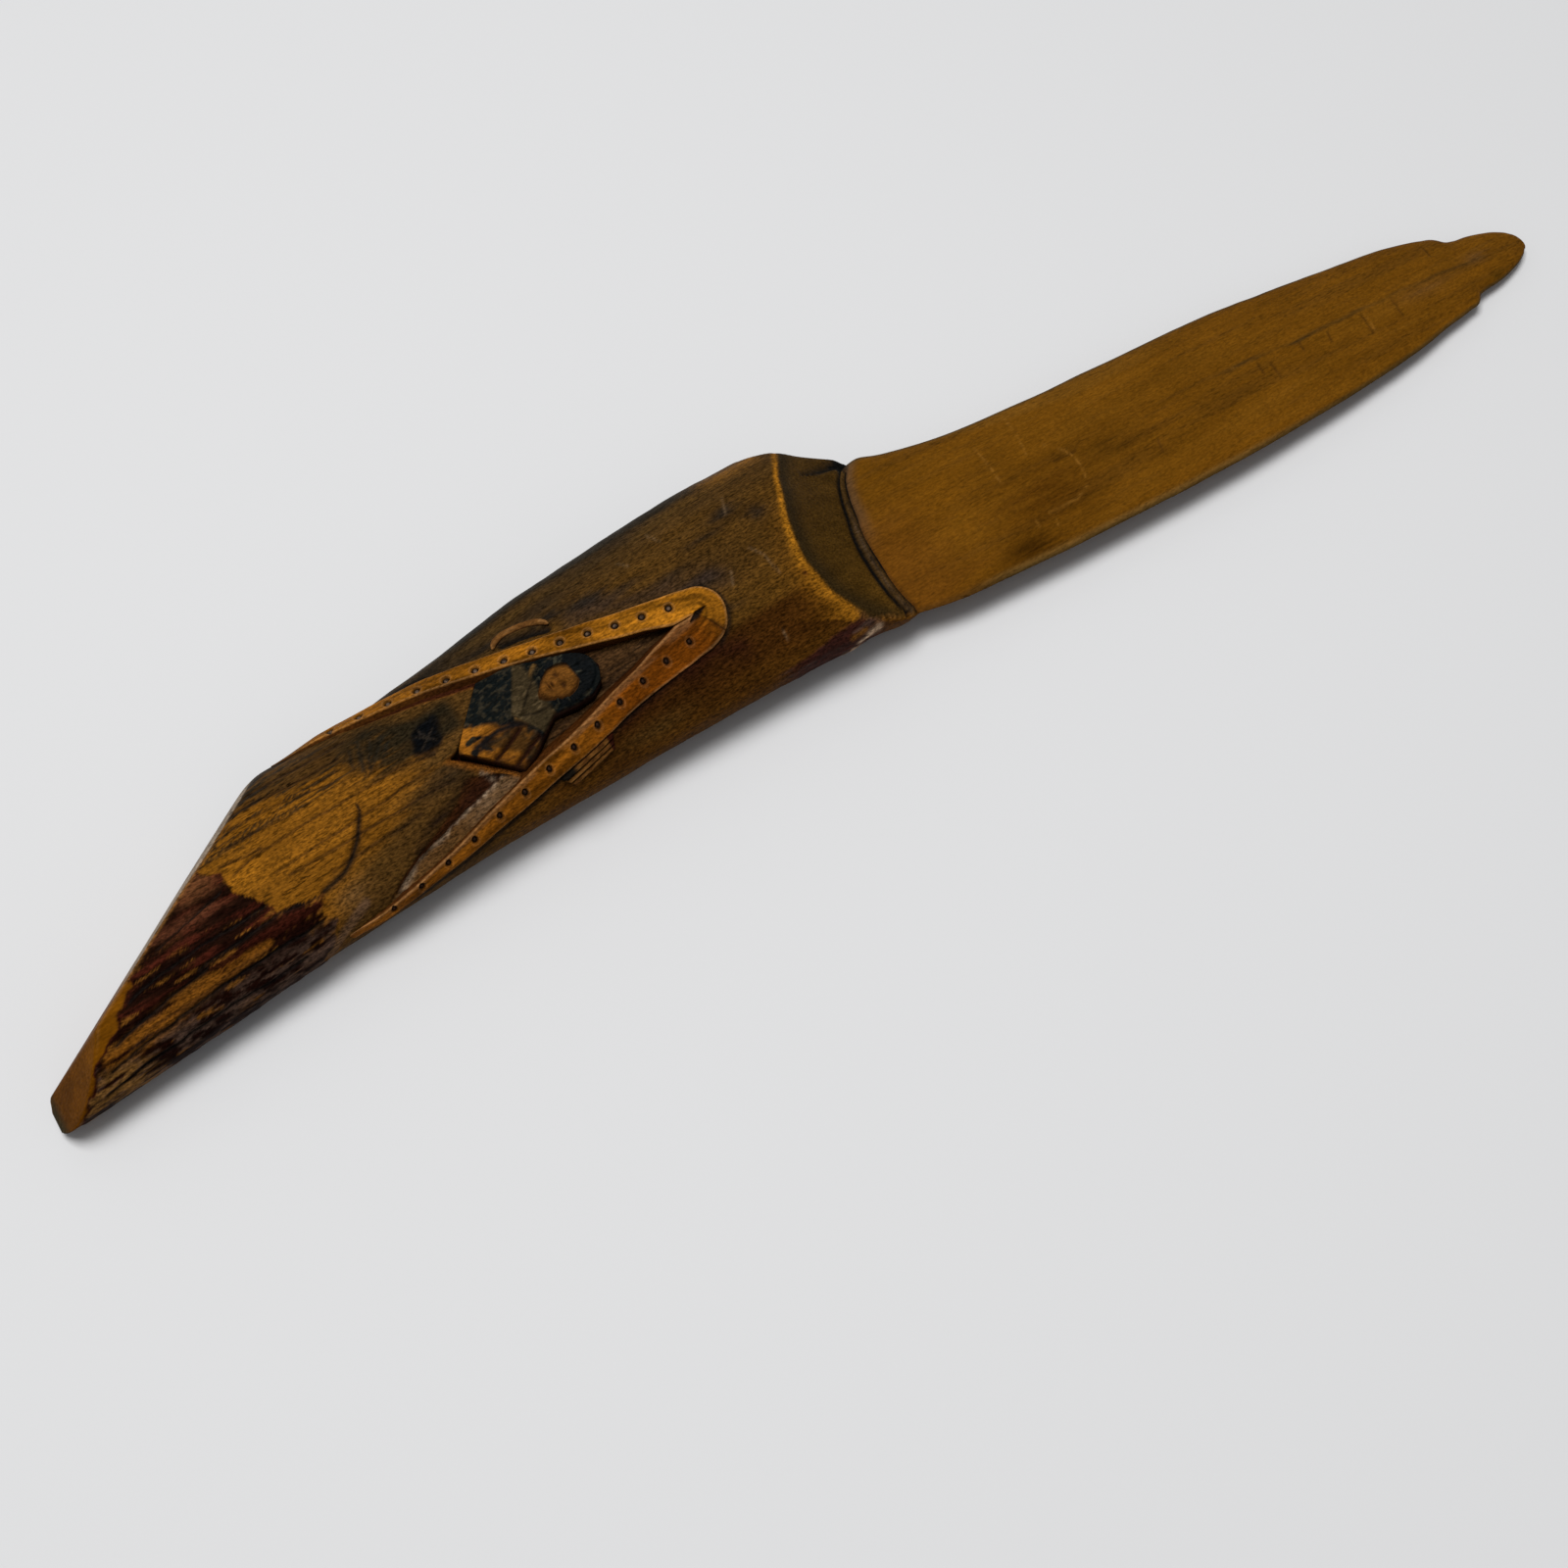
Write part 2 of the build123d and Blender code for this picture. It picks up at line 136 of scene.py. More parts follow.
def branch_at(s):
    """Sideways offset, half width, height of the heart and half height of the branch, s mm from the butt."""
    offset = smooth_run(s, handle_stations, (-0.8, 0.5, 2.5, 2.2))
    width = smooth_run(s, handle_stations, (30.0, 26.6, 33.0, 34.0))
    top = smooth_run(s, handle_stations, (13.2, 15.0, 16.5, 16.5))
    return offset, width / 2, (top - 2.5) / 2, (top + 2.5) / 2


def on_branch(s, angle, lift):
    """The point lift mm above the branch's skin, at an angle in degrees, 0 up and + to the far side."""
    offset, half_width, heart, half_height = branch_at(s)
    turn = np.radians(angle)
    reach = 1 / np.hypot(np.sin(turn) / half_width, np.cos(turn) / half_height) + lift
    return np.stack([s, offset + reach * np.sin(turn), heart + reach * np.cos(turn)], -1)


blade_near = [
    (118, -9), (126, -13.2), (131, -14.9), (138, -16.3), (145, -17.1), (150, -17.6),
    (160, -18.3), (170, -19), (180, -19.5), (200, -19.55), (210, -19.3), (220, -18.5),
    (227, -17.5), (232, -16.9), (234.8, -16.25), (235.6, -15.5), (236.6, -15.25), (239.5, -15.05),
    (242.9, -14.55), (246.1, -13.6), (247.9, -12.45), (248.6, -11.6), (248.75, -10.9),
]
blade_far = [
    (118, 5), (128, 8.6), (133, 10.6), (136, 11.4), (138.3, 11.6), (140.6, 10.65), (143.7, 9.7), (147, 8.8),
    (150.3, 8.1), (160, 6.8), (170, 6), (180, 5.3), (190, 4.7), (200, 3.8), (210, 2.4), (220, 1), (231, -1),
    (235, -2.3), (237.1, -3.4), (237.9, -4.4), (239.4, -5.15), (241.4, -5.5), (244.1, -6.3), (246.5, -7.4),
    (247.8, -8.5), (248.5, -9.7), (248.75, -10.7),
]
blade_heights = (
    (118, 8, 3), (145, 7.7, 2.8), (190, 6.6, 2), (230, 3.9, 0.9), (248.3, 2.4, 0.5),
)


def blade_section(s, across, side):
    """Y and Z of the blade's lens: a parabola across on each side of the middle, with round edges."""
    near = smooth_run(s, *zip(*blade_near))
    far = smooth_run(s, *zip(*blade_far))
    places, tops, unders = zip(*blade_heights)
    top, under = smooth_run(s, places, tops), smooth_run(s, places, unders)
    thin = np.sqrt(np.clip((far - near) / 9.0, 0.05, 1))
    swell = (top - under) / 2 - 0.6
    edge = 0.6 * np.sqrt(np.clip(1 - across**8, 0, 1))
    rise = (edge + swell * (1 - across**2)) * thin
    return (near + far) / 2 + (far - near) / 2 * across, (top + under) / 2 + side * rise


def blade_top(s, y):
    """Height of the blade's upper face above a point in plan."""
    near, far = smooth_run(s, *zip(*blade_near)), smooth_run(s, *zip(*blade_far))
    across = np.clip((2 * y - near - far) / (far - near), -1, 1)
    return blade_section(s, across, 1)[1]


def paint(tint, *layers):
    """The tint with the colour of each layer mixed in, in order, by the layer's share at each point."""
    for colour, share in layers:
        tint = mix(tint, np.array(colour) / 1000, np.clip(share, 0, 1)[..., None])
    return tint


def ground(like, colour):
    """One colour for every point of an array. Colours are linear red, green and blue in thousandths."""
    return np.ones(like.shape + (3,)) * colour / 1000


def make_piece(name, points, tint, ticks=None):
    """A closed mesh of a grid that wraps round in its second direction, with a fan at both ends.

    Points are in mm with X from the butt, and turn from the top to the far side, so that faces look outward.
    The tint goes with them as a colour attribute. Its fourth channel says how strongly dark ticks show
    in the grain, or how smooth the wood is where it is below 0.
    """
    rows, columns = points.shape[:2]
    ends = points[[0, -1]].mean(1)
    vertices = np.concatenate([points.reshape(-1, 3), ends]) + (butt_x, 0, 0)
    index = np.arange(rows * columns).reshape(rows, columns)
    turned = np.roll(index, -1, 1)
    quads = np.stack([index[:-1], index[1:], turned[1:], turned[:-1]], -1).reshape(-1, 4)
    first = np.stack([np.full(columns, rows * columns), index[0], turned[0]], -1)
    last = np.stack([np.full(columns, rows * columns + 1), turned[-1], index[-1]], -1)
    mesh = bpy.data.meshes.new(name)
    mesh.from_pydata((vertices * MM).tolist(), [], quads.tolist() + first.tolist() + last.tolist())
    colours = np.concatenate([tint.reshape(-1, 3), tint[[0, -1]].mean(1)])
    ticked = np.zeros(len(colours))
    if ticks is not None:
        ticked[:-2] = np.clip(ticks, -1, 1).ravel()
    colours = np.concatenate([np.clip(colours, 0, 1), ticked[:, None]], 1)
    layer = mesh.attributes.new("tint", "FLOAT_COLOR", "POINT")
    layer.data.foreach_set("color", colours.astype(np.float32).ravel())
    mesh.shade_smooth()
    piece = bpy.data.objects.new(name, mesh)
    bpy.context.scene.collection.objects.link(piece)
    return piece


def varnished_wood(name, fibre_depth, speckle, roughness, bump, metal=0.0):
    """The painted tint times fibres along the knife, grain specks, dark ticks and slow streaks, with bump."""
    material = bpy.data.materials.new(name)
    material.use_nodes = True
    nodes, links = material.node_tree.nodes, material.node_tree.links
    shader = nodes["Principled BSDF"]
    tint = nodes.new("ShaderNodeAttribute")
    tint.attribute_name = "tint"
    place = nodes.new("ShaderNodeTexCoord")

    def noise(scale, detail, rough):
        mapping = nodes.new("ShaderNodeMapping")
        mapping.inputs["Scale"].default_value = scale
        links.new(place.outputs["Object"], mapping.inputs["Vector"])
        texture = nodes.new("ShaderNodeTexNoise")
        texture.inputs["Scale"].default_value = 1.0
        texture.inputs["Detail"].default_value = detail
        texture.inputs["Roughness"].default_value = rough
        links.new(mapping.outputs["Vector"], texture.inputs["Vector"])
        return texture.outputs["Fac"]

    def span(value, *ends):
        ranged = nodes.new("ShaderNodeMapRange")
        for socket, end in zip(("From Min", "From Max", "To Min", "To Max"), ends):
            ranged.inputs[socket].default_value = end
        links.new(value, ranged.inputs["Value"])
        return ranged.outputs["Result"]

    def joined(operation, *values):
        result = nodes.new("ShaderNodeMath")
        result.operation = operation
        for value, socket in zip(values, result.inputs):
            links.new(value, socket)
        return result.outputs["Value"]

    def times(a, b):
        return joined("MULTIPLY", a, b)

    fibres = noise((240, 2600, 2600), 5, 0.68)
    streaks = noise((22, 420, 420), 3, 0.5)
    grains = noise((1700, 3900, 3900), 2, 0.6)
    short_lines = noise((640, 3500, 3500), 2, 0.55)
    patches = noise((90, 160, 160), 3, 0.55)
    shade = span(fibres, 0.3, 0.7, 1 - fibre_depth, 1 + fibre_depth)
    shade = times(shade, span(streaks, 0.32, 0.68, 1 - 0.7 * fibre_depth, 1 + 0.6 * fibre_depth))
    shade = times(shade, span(patches, 0.3, 0.7, 0.88, 1.12))
    calm = span(tint.outputs["Alpha"], 0.25, 0.7, 1.0, 0.5)
    calm = times(calm, span(tint.outputs["Alpha"], -1.0, 0.0, 0.2, 1.0))
    specks = times(calm, span(grains, 0.33, 0.67, -speckle, 1.15 * speckle))
    shade = joined("MULTIPLY_ADD", shade, specks, shade)
    ticked = times(tint.outputs["Alpha"], span(short_lines, 0.545, 0.625, 0.0, 0.9))
    shade = times(shade, span(ticked, 0.0, 1.0, 1.0, 0.0))
    colour = nodes.new("ShaderNodeVectorMath")
    colour.operation = "SCALE"
    links.new(tint.outputs["Color"], colour.inputs[0])
    links.new(shade, colour.inputs["Scale"])
    links.new(colour.outputs["Vector"], shader.inputs["Base Color"])
    links.new(span(fibres, 0.3, 0.7, roughness + 0.1, roughness - 0.08), shader.inputs["Roughness"])
    relief = joined("ADD", fibres, span(grains, 0.3, 0.7, -0.15, 0.15))
    raised = nodes.new("ShaderNodeBump")
    raised.inputs["Strength"].default_value = bump
    raised.inputs["Distance"].default_value = 0.00016
    links.new(relief, raised.inputs["Height"])
    links.new(raised.outputs["Normal"], shader.inputs["Normal"])
    shader.inputs["Metallic"].default_value = metal
    shader.inputs["Specular IOR Level"].default_value = 0.011
    shader.inputs["Specular Tint"].default_value = (1.0, 0.62, 0.3, 1.0)
    return material


def spread(count, places, weights):
    """Values from the first place to the last, packed closer where the weight is higher."""
    fine = np.linspace(places[0], places[-1], 4000)
    grown = np.cumsum(np.interp(fine, places, weights))
    return np.interp(np.linspace(grown[0], grown[-1], count), grown, fine)


# The outline runs on rays from a core line that stays inside the wood, out to the skin or the nearest cut.
along = spread(436, (0, 8, 40, 110, 122, 138.3), (1.5, 1.0, 1.05, 1.0, 1.25, 1.1))
round_about = spread(223, (-180, -125, -95, 80, 125, 180), (0.35, 0.5, 1.0, 1.0, 0.5, 0.35))[:-1]
s, ray = np.meshgrid(along, round_about, indexing="ij")
core_places = (0, 7, 26, 45, 115, 130, 135, handle_end)
core_y = np.interp(s, core_places, (-12.2, -10.8, -4.5, 0.2, 1.5, 1.0, 6.0, 8.75))
core_z = np.interp(s, core_places, (0.6, 4.0, 5.5, 6.5, 6.5, 4.0, 3.2, 3.0))
ray_y, ray_z = np.sin(np.radians(ray)), np.cos(np.radians(ray))
offset, half_width, heart, half_height = branch_at(s)
square = (ray_y / half_width) ** 2 + (ray_z / half_height) ** 2
linear = (core_y - offset) * ray_y / half_width**2 + (core_z - heart) * ray_z / half_height**2
rest = ((core_y - offset) / half_width) ** 2 + ((core_z - heart) / half_height) ** 2 - 1
skin = (-linear + np.sqrt(linear**2 - square * rest)) / square
skin_y, skin_z = core_y + skin * ray_y, core_z + skin * ray_z
angle = np.degrees(np.arctan2(skin_y - offset, skin_z - heart))
girth_radius = 11.0
girth = np.radians(angle) * girth_radius

# Thin bark is left near the butt, from a zigzag beside the facet to a ragged rim, cracked along the grain.
bark_rim = np.interp(
    angle,
    (-110, -90, -72, -65, -55, -50, -40, -35, -24, -9, -3, 2, 8, 40),
    (37, 38.3, 41.8, 40.9, 41.2, 36, 35.3, 35.1, 32.6, 31.7, 32.4, 31.8, 30.8, 28),
)
facet_rim = np.interp(
    angle,
    (-110, -88, -77, -71, -60, -48, -42, -34, -28, -20),
    (2, 3.4, 6.2, 7.4, 11.9, 14.6, 16.3, 16, 13, -9),
)
ragged = cloud(s / 2.2, girth / 1.6, 11)
past_facet = s - facet_rim - 0.9 * cloud(s / 1.5, girth / 1.1, 16)
bark = ramp(bark_rim + 1.2 * ragged - s, 0.0, 0.5) * ramp(past_facet, -0.2, 0.3)
bark_streak = cloud(s / 11.0, girth / 0.55, 12)
bark_crack = mark(
    s, girth + 0.35 * cloud(s / 4.0, s * 0, 13), 0.2,
    [(9, -14.4), (15.2, -13.9), (23.7, -13.4), (32, -13.1), (39.8, -13.4)],
    [(15, -9.6), (17.2, -9), (22.7, -8.6), (28, -8.4), (35.2, -8.4)],
    [(21, -5.6), (26, -4.6), (31, -3)],
    [(24, -10.6), (30, -10.2), (36, -10), (41, -10.6)],
    [(7, -16.2), (12, -15.8), (24, -15.6), (36, -15.8)],
    [(11, -12.6), (18, -11.6), (25, -11)],
)
gold_line = [(9.5, -13.7), (15, -13.1), (20.4, -12.5), (27, -12.1), (33, -12.0)]
gold_half = np.interp(s, (9, 14, 21, 28, 33), (0.8, 1.15, 1.15, 0.75, 0.35))
gold = bell(to_line(s, girth, gold_line), gold_half, 4)

# Drying cracks and a crescent crease run over the bare wood behind the strips.
wander = girth + 0.2 * cloud(s / 3.0, s * 0 + 5, 14)
crack_lines = (
    ([(33.5, -1.9), (36, -0.9), (43.8, -0.55), (50.7, -0.75), (58.5, -1), (62.5, -2.2)], 0.24),
    ([(38, -5), (46, -4.8), (55, -4.4), (61, -3.9)], 0.22),
    ([(39.3, -6.3), (45.4, -6.7), (49.1, -6.6), (56.7, -6.9), (63, -7.1)], 0.22),
    ([(44, -9.2), (50, -8.8), (57, -8.9)], 0.2),
    ([(35, 6.4), (38.2, 5.95), (44.2, 5), (50, 3.5)], 0.2),
    ([(34.5, 3.4), (38, 3.2), (43, 2.3)], 0.24),
    ([(32.5, 0.7), (35.5, 0.1), (38, -0.2)], 0.3),
    ([(34, 8.8), (40.2, 8.4), (44.9, 7.4), (52, 7)], 0.34),
    ([(37, 10.6), (46, 9.8), (54, 9.4)], 0.3),
)
crack = np.max([mark(s, wander, width, line) for line, width in crack_lines], 0)
crease_line = [
    (51, -2.3), (50.7, -3.8), (49.8, -5.4), (48.9, -6.9), (47.8, -8.1), (46.6, -9.2), (45.2, -10),
    (43.4, -10.4), (41.7, -10.6),
]
crease_width = np.interp(girth, (-10.6, -8, -5, -2.3), (0.42, 0.5, 0.36, 0.18))
crease = mark(s, girth, crease_width, crease_line)

# The panel between the strips is sunk, with a sheer edge round the figure's coat.
upper_middle = [
    (45, 73.5), (53.5, 64), (59.5, 56.7), (65.3, 48.5), (69.7, 40), (73.3, 32.5), (77.1, 25),
    (80.5, 18), (84.5, 10.5), (88, 4), (91.7, -3.5), (95, -9), (98.7, -15), (101.2, -18.6),
]
lower_middle = [
    (101.2, -39.6), (98.5, -43), (94.5, -45.6), (90.8, -48), (86.8, -51), (82.9, -55),
    (78.4, -59), (74, -62.2), (69.1, -66.8), (64.1, -71.2), (60.5, -75), (55.3, -79.5),
    (51.1, -83), (48.3, -85), (41.5, -88),
]
strip_radius = 10.5
below_upper = np.radians(smooth_run(s, *zip(*upper_middle)) - angle) * strip_radius
above_lower = np.radians(angle - smooth_run(s, *zip(*lower_middle[::-1]))) * strip_radius
inside = np.minimum(below_upper, above_lower)
coat_edge = np.interp(
    angle,
    (-62, -58, -48, -36, -22, -7, 5, 13, 25, 34),
    (72, 71.6, 69.3, 67.2, 64.9, 67.7, 69.5, 70.8, 72.2, 73),
)
base_here = ramp(-angle, 19, 23) * ramp(62 + angle, 0, 3)
base_edge = coat_edge - 0.8 * base_here
sunk = ramp(inside, 0.2, 0.9) * ramp(s - base_edge, -0.3, 0.3) * ramp(99.8 - s, 0, 1.2)
base_groove = base_here * ramp(s - base_edge, -0.5, 0.0) * ramp(coat_edge + 0.5 - s, 0, 0.3)
base_bevel = base_here * ramp(s - base_edge + 2.0, 0, 1.6) * ramp(base_edge - s, -0.25, 0.25)

# A groove runs down beside the near strip to a chipped foot, and a narrow ledge beside the far one.
trench_rim = np.interp(s, (48, 51, 54, 57.8, 61.4, 64.1), (-80, -72, -66, -59, -51, -39))
trench_foot = np.interp(s, (48, 51.4, 54.2, 59.5, 64.6, 68.1, 70), (-83.5, -78, -72, -66, -60, -55, -52.5))
trench_end = np.interp(angle, (-62, -59, -51, -39), (71.5, 70.6, 68.7, 64.1))
near_half = np.interp(s, (41.5, 48.3, 55.3, 69.1, 84, 101), (0.4, 0.4, 0.5, 1.0, 1.15, 1.6))
foot_at = np.radians(trench_foot - angle) * strip_radius + above_lower
wall = np.clip((trench_rim - angle) / (trench_rim - trench_foot), 0, 1)
bank = np.clip((above_lower - near_half) / np.maximum(foot_at - near_half, 0.2), 0, 1)
trench_here = ramp(trench_end - s, 0, 0.7) * ramp(s, 47.5, 52) * ramp(above_lower, 0.3, 0.6)
trench = np.minimum(wall, bank) * trench_here
ledge_out = np.interp(s, (54.8, 57.5, 61.9, 66.5, 71.2, 74), (0.9, 1.4, 2.1, 2.4, 2.7, 2.8))
far_half = np.interp(s, (54, 58, 66, 74), (0.55, 0.65, 0.75, 0.9))
ledge = np.clip((ledge_out - below_upper) / np.maximum(ledge_out - far_half, 0.2), 0, 1)
ledge = ledge * ramp(below_upper, 0.3, 0.8) * ramp(73.5 - s, 0, 1) * ramp(s, 54, 56.5)

relief = 0.2 * cloud(s / 13.0, girth / 5.0, 1) + 0.06 * cloud(s / 3.0, girth / 1.5, 2)
relief += bark * (0.14 + 0.12 * bark_streak + 0.08 * cloud(s / 1.6, girth / 0.9, 3) - 0.32 * bark_crack)
relief -= 0.15 * crack + 0.3 * crease
hand_gap = bell(to_line(s, girth, [(78.4, 8.5), (80.4, 8.0), (82.4, 7.2), (84.2, 6.3)]), 0.75, 4)
relief -= 0.55 * hand_gap
relief -= 1.6 * sunk + 0.7 * base_groove + 0.4 * base_bevel + 1.25 * trench + 0.55 * ledge
relief += 0.12 * sunk * cloud(s / 5.0, girth / 0.8, 4)
near_bark = (
    bell(s - 116.3, 7.8, 6) * ramp(-angle + 2.0 * ragged - 0.5 * np.clip(122 - s, 0, 12), 76, 77.5)
    * ramp(106 + angle, 0, 3)
)
relief += near_bark * (0.1 + 0.22 * cloud(s / 3.5, girth / 0.6, 17))
heel_swell = 0.85 * bell(s - 128.0, 3.6) + 0.4 * bell(s - 119.5, 2.6)
relief += heel_swell * ramp(-angle, 66, 84)
far_swell = smooth_run(
    s, (50, 58, 64, 72, 80, 85, 92, 104, 114, 120, 130),
    (0, 0, 0.45, 0.75, 1.15, 1.3, 1.05, 0.75, 0.45, 0, 0),
)
relief += far_swell * ramp(angle, 51, 67)
skin = skin + relief

# Cuts: flat underside, slanting butt, its bevel, scooped collar slope, far side of the neck, undercut heel.
uncut = 1e3


def to_cut(point, normal):
    """Distance along each ray to a plane, given a point on it and the way that it faces."""
    facing = normal[1] * ray_y + normal[2] * ray_z
    short = normal[0] * (point[0] - s) + normal[1] * (point[1] - core_y) + normal[2] * (point[2] - core_z)
    return np.where(facing > 1e-4, short / np.maximum(facing, 1e-4), uncut)


def slope_height(s, y):
    """Height of the collar slope, which sags from the ridge to the seam, and the share of the way down it."""
    ridge_at = smooth_run(
        y, (-14.2, -13.3, -12.2, -10.7, -8.9, -6.8, -4.3, -0.2, 2.4, 5.9, 9.3, 12.7, 16),
        (123.6, 122.2, 121, 119.8, 118.8, 118.4, 118.1, 118.9, 119.8, 121.4, 122.9, 124.9, 126.6),
    )
    seam = smooth_run(
        y, (-15.3, -11.5, -6.8, -1.1, 2.1, 5.9, 9.1, 10.5, 12.7),
        (129.8, 128.9, 128.9, 129.9, 131, 132.4, 134.2, 135.4, 136.8),
    )
    side, half, middle, rise = branch_at(ridge_at)
    crown = middle + rise * np.sqrt(np.clip(1 - ((y - side) / half) ** 2, 0.06, 1))
    foot = blade_top(seam, y) + 0.3
    up = (seam - s) / (seam - ridge_at)
    sag = np.where(up < 0, 0.75 * up, np.where(up > 1, 1 + 1.25 * (up - 1), up - 0.25 * up * (1 - up)))
    return foot + (crown - foot) * sag, 1 - up


first_row = np.searchsorted(along, 112.0)
steps = np.linspace(0.4, 22.0, 110)
walk_y = core_y[first_row:, :, None] + steps * ray_y[first_row:, :, None]
walk_z = core_z[first_row:, :, None] + steps * ray_z[first_row:, :, None]
depth = slope_height(s[first_row:, :, None] + 0 * steps, walk_y)[0] - walk_z
after = np.clip(np.argmax(depth < 0, -1), 1, None)
under_at = np.take_along_axis(depth, after[..., None] - 1, -1)[..., 0]
over_at = np.take_along_axis(depth, after[..., None], -1)[..., 0]
crossing = (
    steps[after - 1]
    + (steps[1] - steps[0]) * under_at / np.where(under_at > over_at, under_at - over_at, 1)
)
slope = np.full(s.shape, uncut)
slope[first_row:] = np.where(np.any(depth < 0, -1) & (ray_z[first_row:] > 0.02), crossing, uncut)
slope_met = slope < uncut
slope_reach = np.minimum(slope, 30)
slope_y = core_y + slope_reach * ray_y
down = slope_height(s, slope_y)[1]
over_blade = core_z + slope_reach * ray_z - blade_top(s, slope_y)
lip = bell(over_blade - 0.95, 0.22)
bead = bell(over_blade - 0.45, 0.22)
crack_width = np.interp(s, (127.4, 130.0, 134.0, 136.0), (0.2, 0.36, 0.55, 0.6))
collar_crack = np.maximum(
    mark(s, slope_y, crack_width, [(135.4, 11.9), (133.0, 11.4), (130.6, 10.8), (127.6, 10.3)]),
    ramp(s - 132.5 - 1.6 * np.abs(slope_y - 11.8), 0, 0.5),
)
collar_crack = collar_crack * slope_met
slope = slope - np.where(slope_met, 0.42 * lip - 0.18 * bead + 0.7 * collar_crack, 0)
ridge_width = 0.55 + 0.55 * ramp(-angle, 20, 60)
ridge = bell(slope - skin - 0.2, ridge_width) * ramp(s, 112, 116)
out = soft_min(skin, slope, 0.8 + 1.3 * ramp(angle, 35, 60))
cut_face = to_cut((26.0, -0.24, 13.98), (-0.4735, 0.7538, 0.4384))
bevel_face = to_cut((0.0, -14.0, 1.5), (-0.7486, 0.2246, 0.6239))
sawn = np.minimum(cut_face, bevel_face)
sawn_here = ramp(skin - sawn, -0.12, 0.12)
sawn_edge = bell(skin - sawn + 0.2, 0.3)
out = soft_min(out, cut_face, 0.35 + 1.1 * ramp(s, 25, 33))
out = soft_min(out, bevel_face, 0.5)
far_limit = np.interp(
    s, (117, 121, 124, 126, 129, 132, 135.4, 138.3), (22, 18.2, 15.8, 14.5, 13.7, 13.2, 12.6, 9.6),
)
out = soft_min(out, np.where(ray_y > 0.05, (far_limit - core_y) / np.maximum(ray_y, 0.05), uncut), 0.6)
seam_turn = np.radians(-13.4)
heel_normal = (3.0 * np.cos(seam_turn), 3.0 * np.sin(seam_turn), -4.0)
heel_point = (seam_at + 2.2 * np.cos(seam_turn), 2.2 * np.sin(seam_turn), 0.0)
out = soft_min(out, to_cut(heel_point, heel_normal), 0.3)
out = soft_min(out, to_cut((0.0, 0.0, 0.0), (0.0, 0.0, -1.0)), 0.7)
out = np.maximum(out, 0.02)
handle_points = np.stack([s, core_y + out * ray_y, core_z + out * ray_z], -1)

# Tint of the barrel: aged brown on top, dark below the near strip with a painted shadow along its edge, and
# painted shade with a thin painted highlight along the far flank.
aged, ochre, orange = (60, 27, 4.5), (148, 56, 4.5), (310, 122, 8)
soot, olive = (4.5, 4.2, 4), (58, 27, 6.2)
mottle = cloud(s / 7.0, girth / 1.6, 21)
fine = cloud(s / 1.8, girth / 0.5, 22)
dashes = cloud(s / 4.5, girth / 0.4, 28)
near_low = ramp(-angle, 66, 86) * ramp(s, 60, 70)
# Painted shadow on the wood along the outer edge of the near strip.
shade_under_strip = bell(above_lower + 1.9, 0.8) * ramp(s, 83, 86) * ramp(103 - s, 0, 4)
nose_shade = mark(s, girth, 1.4, [(96.5, -11.3), (100.7, -10.6), (104.5, -11.8)])
near_glow = bell(s - 88.8, 5.0) * bell(girth + 14.5, 1.0)
# Painted shade over the far flank, weaker towards the collar.
far_flank_shade = ramp(angle + 10 * mottle, 26, 56)
far_run = ramp(s, 66, 76) * ramp(117 - s, 0, 8)
handle_tint = paint(
    ground(s, aged),
    ((88, 37, 4.2), ramp(s, 100, 116) * ramp(-girth, 2, 10) * 0.7),
    ((32, 9.5, 1.6), ramp(-above_lower, 1.2, 2.6) * ramp(s, 66, 76) * 0.8),
    ((85, 33, 3.5), near_low * (0.6 + 0.5 * mottle)),
    ((20, 5.5, 2.5), shade_under_strip * 0.85),
    ((16, 4.5, 2), nose_shade * (0.8 + 0.3 * dashes)),
    ((78, 39, 8.8), near_glow * (0.6 + 0.3 * dashes)),
    # Painted shade on the far flank, a darker painted shade at its edge, and a thin painted highlight just
    # inside that edge.
    ((34, 20.5, 8.5), far_flank_shade * (0.85 - 0.45 * ramp(s, 72, 84))),
    ((12, 10, 6.5), ramp(angle, 60, 66) * far_run * 0.85),
    ((98, 50, 10), bell(angle - 58.5, 2.0) * far_run * (0.4 + 0.4 * dashes)),
)

# Behind the strips the wood is bare and ochre in an olive surround, hatched dark towards the far flank.
bare_end = np.interp(
    angle, (-90, -70, -60, -45, -30, -15, 0, 15, 30, 60), (40, 45, 48, 53, 59, 62, 60, 57, 55, 53),
)
bare = ramp(bare_end - s + 4 * mottle + 3 * dashes, -3, 6) * ramp(s, 6, 12)
behind = ramp(76 - s, 0, 4) * ramp(inside, 0.2, 1.0)
dark_from = np.interp(s, (36, 39, 44, 48, 52, 56, 60), (47, 45, 38, 33, 29, 23, 10))
glow = bell(s - 34.6, 3.0) * bell(girth + 2.6, 2.4) + 0.45 * bell(s - 42.0, 5.0) * bell(girth + 4.5, 1.8)
ticks = bare * (0.5 + 0.6 * mottle) * ramp(70 + angle, 0, 14) + 0.22 * (1 - bare) + 0.3 * far_flank_shade
hatch = bare * ramp(angle + 10 * mottle, 2, 18) * ramp(dashes, 0.05, 0.24)
stroke = mark(
    s + 0.4 * fine, girth, 0.3, [(55.4, 7.5), (53.8, 1.2)], [(56.9, 6.7), (54.6, 1.2)],
    [(58.4, 6), (54.8, 1.3)], [(58.7, 4.4), (56.8, 1.9)], [(53.9, 6.9), (53.1, 4)],
)
halo_top = np.interp(s, (57, 63), (10.5, 6.8))
halo = ramp(girth, -1.4, 0.1) * ramp(halo_top - girth, 0, 2.5) * ramp(s, 49, 57) * ramp(69 - s, 0, 2)
halo = halo * (1 - 0.75 * ramp(dashes, 0.1, 0.35) * ramp(61 - s, 0, 4))
